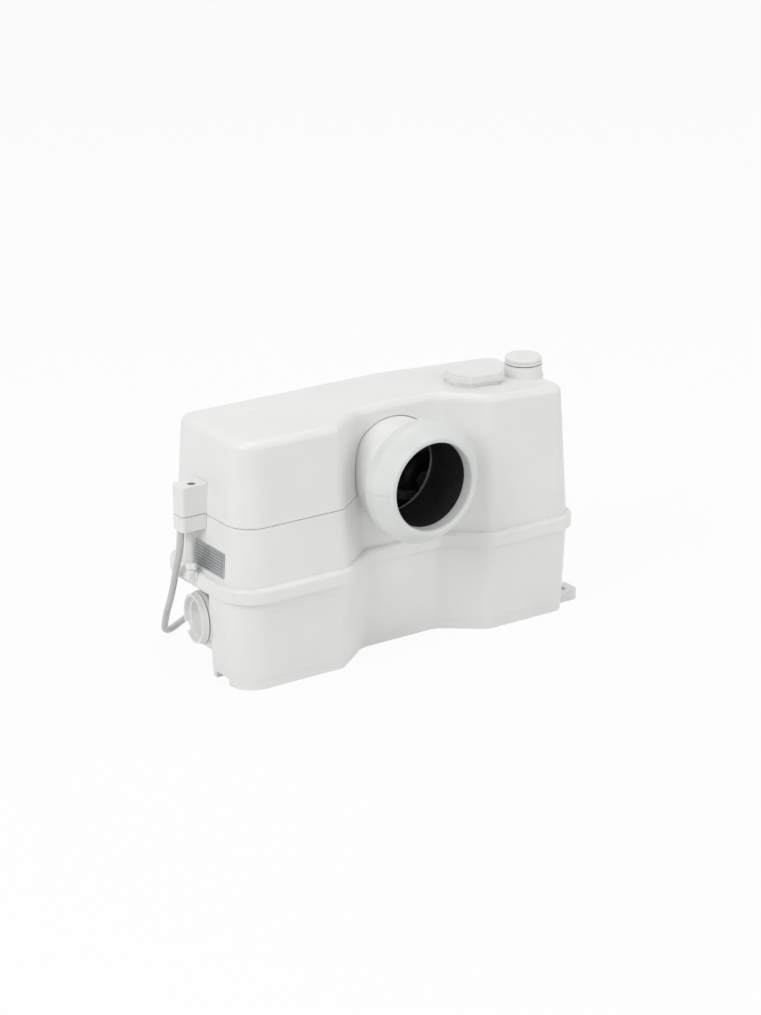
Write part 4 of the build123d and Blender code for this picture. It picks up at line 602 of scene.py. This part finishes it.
# Stacked iron sheets, 0.65 mm apart
LAMINATED_IRON = Striped(
    "stacked_electrical_steel", "5a5a5e", "3d3d40", (0.45, 0.60), 0.3, 0.006, 8.0, 0.8, spacing=0.65,
    stripe_depth=0.05,
)
# Enamelled wire, 0.8 mm, in close turns
ENAMELLED_COPPER = Striped(
    "enamelled_copper_wire", "a8622c", "6d3a18", (0.24, 0.36), 0.3, 0.004, 4.0, 0.9, coat=0.3, spacing=0.8,
    stripe_depth=0.2, across=Across.DIAGONAL, wander=1.5, share=1.0,
)
# Felt of activated carbon: matt black fibres
CARBON_FELT = Finish(
    "pressed_carbon_felt", "29292a", "111112", (0.82, 0.95), 1.2, 0.40, 2.5, ior=1.45, sheen=0.3
)
# Lacquered glass-epoxy board, tracks 2.5 mm apart
CIRCUIT_BOARD = Striped(
    "lacquered_glass_epoxy", "1f6a43", "174f33", (0.30, 0.42), 0.4, 0.004, 6.0, ior=1.55, coat=0.2,
    spacing=2.5, stripe_depth=0.03, across=Across.Y,
)
# Woven nylon strap: threads 0.5 mm apart, drawn at 0.9 mm so that they show
WOVEN_NYLON = Striped(
    "woven_nylon_strap", "3a3a3c", "222223", (0.70, 0.85), 0.4, 0.02, 10.0, ior=1.53, sheen=0.3, spacing=0.9,
    stripe_depth=0.12, across=Across.DIAGONAL,
)


@dataclass
class SubAssembly:
    """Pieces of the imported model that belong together, each with its finish.

    Attributes:
        title: What the sub-assembly is.
        finishes: Finish of each of its nodes.
    """

    title: str = ""
    finishes: dict[str, Finish] = field(default_factory=dict)

    def dress(self) -> None:
        """Gives every node of the sub-assembly its material."""
        for name, finish in self.finishes.items():
            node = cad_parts[name]
            material = finish.material()
            for holder in node.material_slots:
                holder.material = material
            if not node.material_slots:
                node.data.materials.append(material)
            LOG.info("%s: %s in %s", self.title, name, finish.name)

    def build(self) -> None:
        """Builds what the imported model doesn't hold, here nothing, and dresses the rest."""
        self.dress()


@dataclass
class Casing(SubAssembly):
    """The two tanks, the motor cover and what joins them."""

    title: str = "casing"
    finishes: dict[str, Finish] = field(
        default_factory=lambda: {
            "lower_tank": CASING_ABS,
            "upper_tank": CASING_ABS,
            "motor_cover": COVER_ABS,
            "cable_clamp": COVER_ABS,
            "tank_gasket": SEAL_NITRILE,
            "cover_screws": ZINC_STEEL,
            "blank_plate": PLATE_ALUMINIUM,
        }
    )


@dataclass
class Inlets(SubAssembly):
    """The toilet's collar and sleeve, the capped inlets and the vent."""

    title: str = "inlets"
    finishes: dict[str, Finish] = field(
        default_factory=lambda: {
            "wc_collar": COLLAR_EPDM,
            "inlet_sleeve": SLEEVE_BLACK_AND_PAINTED_SHADE,
            "side_inlet_cap": CAP_POLYPROPYLENE,
            "top_inlet_cap": CAP_POLYPROPYLENE,
            "inlet_seals": SEAL_NITRILE,
            "filter_lid": CAP_POLYPROPYLENE,
            "carbon_filter": CARBON_FELT,
        }
    )


@dataclass
class Discharge(SubAssembly):
    """The riser pipe and the valve in its niche."""

    title: str = "discharge"
    finishes: dict[str, Finish] = field(
        default_factory=lambda: {
            "riser_pipe": PUMP_POLYAMIDE,
            "riser_coupling": SEAL_NITRILE,
            "riser_bracket": GREY_NYLON,
            "valve_body": VALVE_POLYPROPYLENE,
            "valve_flap": SEAL_NITRILE,
            "flap_pin": STAINLESS,
            "valve_seal": SEAL_NITRILE,
            "valve_screws": ZINC_STEEL,
        }
    )


@dataclass
class Pump(SubAssembly):
    """The pump with its impeller and cutter."""

    title: str = "pump"
    finishes: dict[str, Finish] = field(
        default_factory=lambda: {
            "pump_housing": PUMP_POLYAMIDE,
            "pump_screws": ZINC_STEEL,
            "impeller": PUMP_POLYAMIDE,
            "cutter": STAINLESS,
            "cutter_nut": STAINLESS,
            "cutter_ring": STAINLESS,
            "shaft_seal": SEAL_NITRILE,
        }
    )


@dataclass
class Motor(SubAssembly):
    """The motor over the pump."""

    title: str = "motor"
    finishes: dict[str, Finish] = field(
        default_factory=lambda: {
            "motor_mount": SEAL_NITRILE,
            "motor_screws": ZINC_STEEL,
            "motor_base": CAST_ALUMINIUM,
            "motor_housing": CAST_ALUMINIUM,
            "motor_cap": CAST_ALUMINIUM,
            "motor_bearings": GROUND_STEEL,
            "motor_shaft": GROUND_STEEL,
            "motor_windings": ENAMELLED_COPPER,
            "stator": LAMINATED_IRON,
            "rotor": LAMINATED_IRON,
        }
    )


@dataclass
class Controls(SubAssembly):
    """The level switch over its dip tube, and the electrical pieces."""

    title: str = "controls"
    finishes: dict[str, Finish] = field(
        default_factory=lambda: {
            "dip_tube": GREY_NYLON,
            "switch_body": BLACK_NYLON,
            "switch_diaphragm": SEAL_NITRILE,
            "micro_switch": BLACK_NYLON,
            "capacitor": GREY_NYLON,
            "capacitor_cup": BLACK_NYLON,
            "control_board": CIRCUIT_BOARD,
            "terminal_block": BLACK_NYLON,
        }
    )


@dataclass
class BaseAndDrain(SubAssembly):
    """Feet, bracket and the pale drain fittings."""

    title: str = "base and drain"
    finishes: dict[str, Finish] = field(
        default_factory=lambda: {
            "rubber_feet": FOOT_RUBBER,
            "foot_bracket": CAP_POLYPROPYLENE,
            "bracket_screw": ZINC_STEEL,
            "drain_nipple": CAP_POLYPROPYLENE,
            "drain_hose": HOSE_SILICONE,
            "drain_clip": CAP_POLYPROPYLENE,
            "drain_plug": GREY_NYLON,
        }
    )


@dataclass
class MainsCord(SubAssembly):
    """The mains cord: its listed route, then a tied coil of what is put away.

    Attributes:
        route: Points from the housing down to the floor and round behind the casing, in metres.
        diameter: Thickness of the sheath.
        length: Real length of the cord without its plug; not used.
        coil_radius: Radius of the coil's outer turn.
        pitch: Spacing of turns and layers.
        turns: Number of turns.
        points_per_turn: Spline points in each turn.
        tie_turn: Angle of the tie's place on the coil, in degrees from +X.
        tie_width: Width of the tie along the cord.
        tie_thickness: Thickness of the tie.
        tie_squareness: Power of the tie's rounded square: 2 is an ellipse, more is squarer.
        tie_steps: Steps round the tie.
        floor_gap: Height of the tie's lowest edge above the floor.
        climb_turns: Part of a turn over which the coil climbs to its upper layer.
        round_steps: Steps round a quarter of the sheath.
        spline_steps: Steps between two points of the route.
        spline_order: Order of the spline: 3 keeps close to its points.
    """

    title: str = "mains cord"
    finishes: dict[str, Finish] = field(
        default_factory=lambda: {
            "power_cord": CORD_PVC,
            "cord_coil": CORD_PVC,
            "lead_in_cable": CORD_PVC,
            "strain_relief": GREY_NYLON,
            "plug_body": PLUG_PVC,
            "plug_pins": NICKEL_BRASS,
        }
    )
    route: tuple[tuple[float, float, float], ...] = (
        (-0.2120, 0.0240, 0.1500),
        (-0.2124, 0.0262, 0.1270),
        (-0.2102, 0.0384, 0.1050),
        (-0.2043, 0.0540, 0.0820),
        (-0.1990, 0.0710, 0.0575),
        (-0.1929, 0.0896, 0.0367),
        (-0.1830, 0.1140, 0.0033),
        (-0.1460, 0.1365, 0.0033),
        (-0.1150, 0.1580, 0.0033),
        (-0.0920, 0.1680, 0.0033),
        (-0.0620, 0.1680, 0.0033),
    )
    diameter: float = 0.0065
    length: float = 1.15
    coil_radius: float = 0.040
    pitch: float = 0.0072
    turns: int = 4
    points_per_turn: int = 16
    tie_turn: float = 180.0
    tie_width: float = 0.012
    tie_thickness: float = 0.0009
    tie_squareness: float = 4.0
    tie_steps: int = 48
    floor_gap: float = 0.0001
    climb_turns: float = 0.5
    round_steps: int = 6
    spline_steps: int = 8
    spline_order: int = 3

    def centre(self) -> Vector:
        """Middle of the coil, at the height of its lower layer."""
        return Vector(self.route[-1]) + Vector((self.diameter, -self.coil_radius, 0.0))

    def coil_points(self) -> list[Vector]:
        """Points of the coil, inward on the lower layer and outward on the upper one.

        Returns:
            The points, from the coil's start to the plug's strain relief.
        """
        centre = self.centre()
        points = []
        for index in range(self.turns * self.points_per_turn + 1):
            turn = index / self.points_per_turn
            radius = self.coil_radius - self.pitch * min(turn, self.turns - turn)
            climb = min(max((turn - self.turns / 2) / self.climb_turns + 0.5, 0.0), 1.0)
            lift = self.pitch * (3 * climb**2 - 2 * climb**3)
            angle = math.pi / 2 - 2 * math.pi * turn
            points.append(centre + Vector((radius * math.cos(angle), radius * math.sin(angle), lift)))
        lead_to_plug = 2 * self.diameter
        points.append(points[-1] + Vector((lead_to_plug, 0.0, 0.0)))
        return points

    def tie_outward(self) -> Vector:
        """Level direction from the coil's middle to the tie."""
        turn = math.radians(self.tie_turn)
        return Vector((math.cos(turn), math.sin(turn), 0.0))

    def tie_section(self) -> list[tuple[Vector, Vector]]:
        """Outline of the strap round the turns that it holds.

        Returns:
            For each step, the place on the strap's inner face and on its outer face.
        """
        outward = self.tie_outward()
        snug = self.diameter / 2 + self.tie_thickness / 4
        inner = self.coil_radius - self.pitch * self.turns / 2 - snug
        outer = self.coil_radius + snug
        top = self.pitch + self.diameter / 2 + self.route[-1][2]
        middle = self.centre() + outward * (inner + outer) / 2
        middle.z = (top + self.floor_gap) / 2
        half_width = (outer - inner) / 2
        half_height = (top - self.floor_gap) / 2
        power = self.tie_squareness
        section = []
        for index in range(self.tie_steps):
            angle = 2 * math.pi * index / self.tie_steps
            side, rise = math.cos(angle), math.sin(angle)
            reach = (abs(side) ** power + abs(rise) ** power) ** (-1 / power)
            lift = Vector((0.0, 0.0, rise * reach * half_height))
            near = middle + outward * side * reach * half_width + lift
            far = near + outward * side * self.tie_thickness
            far.z = max(far.z + max(rise, 0.0) * self.tie_thickness, self.floor_gap)
            section.append((near, far))
        return section

    def tie(self) -> bpy.types.Object:
        """Makes the woven strap that holds the coil's turns together.

        Returns:
            The strap.
        """
        outward = self.tie_outward()
        along = Vector((-outward.y, outward.x, 0.0))
        ends = (-self.tie_width / 2, self.tie_width / 2)
        mesh = bmesh.new()
        rings = []
        for pair in self.tie_section():
            rings.append([mesh.verts.new(point + along * end) for point in pair for end in ends])
        for index, ring in enumerate(rings):
            other = rings[(index + 1) % self.tie_steps]
            for first, second in ((0, 1), (1, 3), (3, 2), (2, 0)):
                mesh.faces.new((ring[first], ring[second], other[second], other[first]))
        bmesh.ops.recalc_face_normals(mesh, faces=mesh.faces)
        data = bpy.data.meshes.new("cord_tie")
        mesh.to_mesh(data)
        mesh.free()
        data.materials.append(WOVEN_NYLON.material())
        strap = bpy.data.objects.new("cord_tie", data)
        bpy.context.scene.collection.objects.link(strap)
        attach(strap, "casing")
        return strap

    def build(self) -> None:
        points = [Vector(place) for place in self.route] + self.coil_points()
        data = bpy.data.curves.new("mains_cord", "CURVE")
        data.dimensions = "3D"
        data.bevel_depth = self.diameter / 2
        data.bevel_resolution = self.round_steps
        data.use_fill_caps = True
        data.resolution_u = self.spline_steps
        spline = data.splines.new("NURBS")
        spline.points.add(len(points) - 1)
        for point, place in zip(spline.points, points):
            point.co = (*place, 1.0)
        spline.order_u = self.spline_order
        spline.use_endpoint_u = True
        data.materials.append(CORD_PVC.material())
        cord = bpy.data.objects.new("mains_cord", data)
        bpy.context.scene.collection.objects.link(cord)
        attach(cord, "casing")
        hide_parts("power_cord", "cord_coil")
        self.tie()
        LOG.info("%s: cord and tie", self.title)
        self.dress()


@dataclass(frozen=True)
class CameraPlace:
    """Where the photograph was taken from, fitted to the object's edges.

    Attributes:
        location: Camera's place in metres.
        turn: Angle of the view to the right of +Y, in degrees.
        dip: Angle of the view below level, in degrees.
        lens: Focal length for a sensor as long as the frame's longer side.
        sensor: Length of that sensor.
        near: Distance at which the view starts.
        far: Distance at which the view ends.
    """

    location: tuple[float, float, float] = (-1.548154, -2.268015, 1.149374)
    turn: float = 34.3
    dip: float = 20.3
    lens: float = 106.404
    sensor: float = 36.0
    near: float = 0.05
    far: float = 50.0

    def build(self) -> None:
        """Makes the camera the scene's camera."""
        data = bpy.data.cameras.new("photo_camera")
        data.lens = self.lens
        data.sensor_width = self.sensor
        data.sensor_fit = "AUTO"
        data.clip_start = self.near
        data.clip_end = self.far
        camera = bpy.data.objects.new("photo_camera", data)
        camera.location = self.location
        camera.rotation_euler = Euler((math.radians(90 - self.dip), 0.0, math.radians(-self.turn)))
        bpy.context.scene.collection.objects.link(camera)
        bpy.context.scene.camera = camera
        LOG.info("camera placed")


@dataclass(frozen=True)
class Lamp:
    """One soft studio lamp, aimed at the object.

    Attributes:
        name: Name of the lamp.
        location: Place in metres.
        power: Watts.
        size: Side of its square face in metres.
        target: Point it faces.
    """

    name: str
    location: tuple[float, float, float]
    power: float
    size: float
    target: tuple[float, float, float] = (0.0, 0.0, 0.12)

    def build(self) -> None:
        """Adds the lamp to the scene."""
        data = bpy.data.lights.new(self.name, "AREA")
        data.energy = self.power
        data.size = self.size
        lamp = bpy.data.objects.new(self.name, data)
        lamp.location = self.location
        aim = Vector(self.target) - Vector(self.location)
        lamp.rotation_euler = aim.to_track_quat("-Z", "Y").to_euler()
        bpy.context.scene.collection.objects.link(lamp)
        LOG.info("lamp %s", self.name)


@dataclass(frozen=True)
class Studio:
    """Plain pale floor, white surroundings and soft lamps.

    Attributes:
        ambient: Strength of the surroundings' light on the object.
        floor_side: Length of the floor's side in metres.
        floor_glow: Share of plain white in what the camera sees of the floor.
        floor_tint: Colour of the floor.
        lamps: The lamps.
    """

    ambient: float = 0.45
    floor_side: float = 14.0
    floor_glow: float = 0.92
    floor_tint: str = "f4f4f4"
    lamps: tuple[Lamp, ...] = (
        Lamp("key_left", (-2.4, -0.7, 1.9), 34.0, 1.6),
        Lamp("top_soft", (0.3, 0.2, 2.6), 17.0, 2.2),
        Lamp("fill_right", (1.9, -2.2, 1.2), 18.0, 1.8),
    )

    @staticmethod
    def seen(tree: bpy.types.NodeTree) -> Socket:
        """Value of 1 for camera, glossy and transmission rays.

        Args:
            tree: Node tree of a material or the world.

        Returns:
            The value.
        """
        rays = add_node(tree, "ShaderNodeLightPath", {})
        total = rays.outputs["Is Camera Ray"]
        for name in ("Is Glossy Ray", "Is Transmission Ray"):
            total = add_node(
                tree, "ShaderNodeMath", {0: total, 1: rays.outputs[name]}, {"operation": "MAXIMUM"}
            ).outputs[0]
        return total

    def world(self) -> None:
        """Makes white surroundings that light the object more weakly than they look."""
        world = bpy.data.worlds.new("studio")
        world.use_nodes = True
        tree = world.node_tree
        tree.nodes.clear()
        shown = add_node(tree, "ShaderNodeBackground", {"Color": WHITE, "Strength": 1.0})
        light = add_node(tree, "ShaderNodeBackground", {"Color": WHITE, "Strength": self.ambient})
        mixed = add_node(
            tree, "ShaderNodeMixShader", {0: self.seen(tree), 1: light.outputs[0], 2: shown.outputs[0]}
        )
        add_node(tree, "ShaderNodeOutputWorld", {"Surface": mixed.outputs[0]})
        bpy.context.scene.world = world
        LOG.info("surroundings made")

    def floor(self) -> None:
        """Makes the floor, which keeps the object's shadow."""
        half = self.floor_side / 2
        mesh = bpy.data.meshes.new("floor")
        corners = [(-half, -half, 0), (half, -half, 0), (half, half, 0), (-half, half, 0)]
        mesh.from_pydata(corners, [], [(0, 1, 2, 3)])
        floor = bpy.data.objects.new("floor", mesh)
        bpy.context.scene.collection.objects.link(floor)
        material = bpy.data.materials.new("painted_floor")
        material.use_nodes = True
        tree = material.node_tree
        tree.nodes.clear()
        paint = add_node(tree, "ShaderNodeBsdfDiffuse", {"Color": linear(self.floor_tint)})
        white = add_node(tree, "ShaderNodeEmission", {"Strength": 1.0})
        glow = add_node(
            tree, "ShaderNodeMath", {0: self.seen(tree), 1: self.floor_glow}, {"operation": "MULTIPLY"}
        )
        mixed = add_node(
            tree, "ShaderNodeMixShader", {0: glow.outputs[0], 1: paint.outputs[0], 2: white.outputs[0]}
        )
        add_node(tree, "ShaderNodeOutputMaterial", {"Surface": mixed.outputs[0]})
        floor.data.materials.append(material)
        LOG.info("floor made")

    def build(self) -> None:
        """Adds floor, surroundings and lamps."""
        self.world()
        self.floor()
        for lamp in self.lamps:
            lamp.build()
        bpy.context.scene.view_settings.view_transform = "Standard"


def main() -> None:
    """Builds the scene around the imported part, camera and cord first."""
    logging.basicConfig(level=logging.INFO)
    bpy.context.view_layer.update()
    CameraPlace().build()
    MainsCord().build()
    for group in (Casing, Inlets, Discharge, Pump, Motor, Controls, BaseAndDrain):
        group().build()
    Studio().build()


if __name__ == "__main__":
    main()
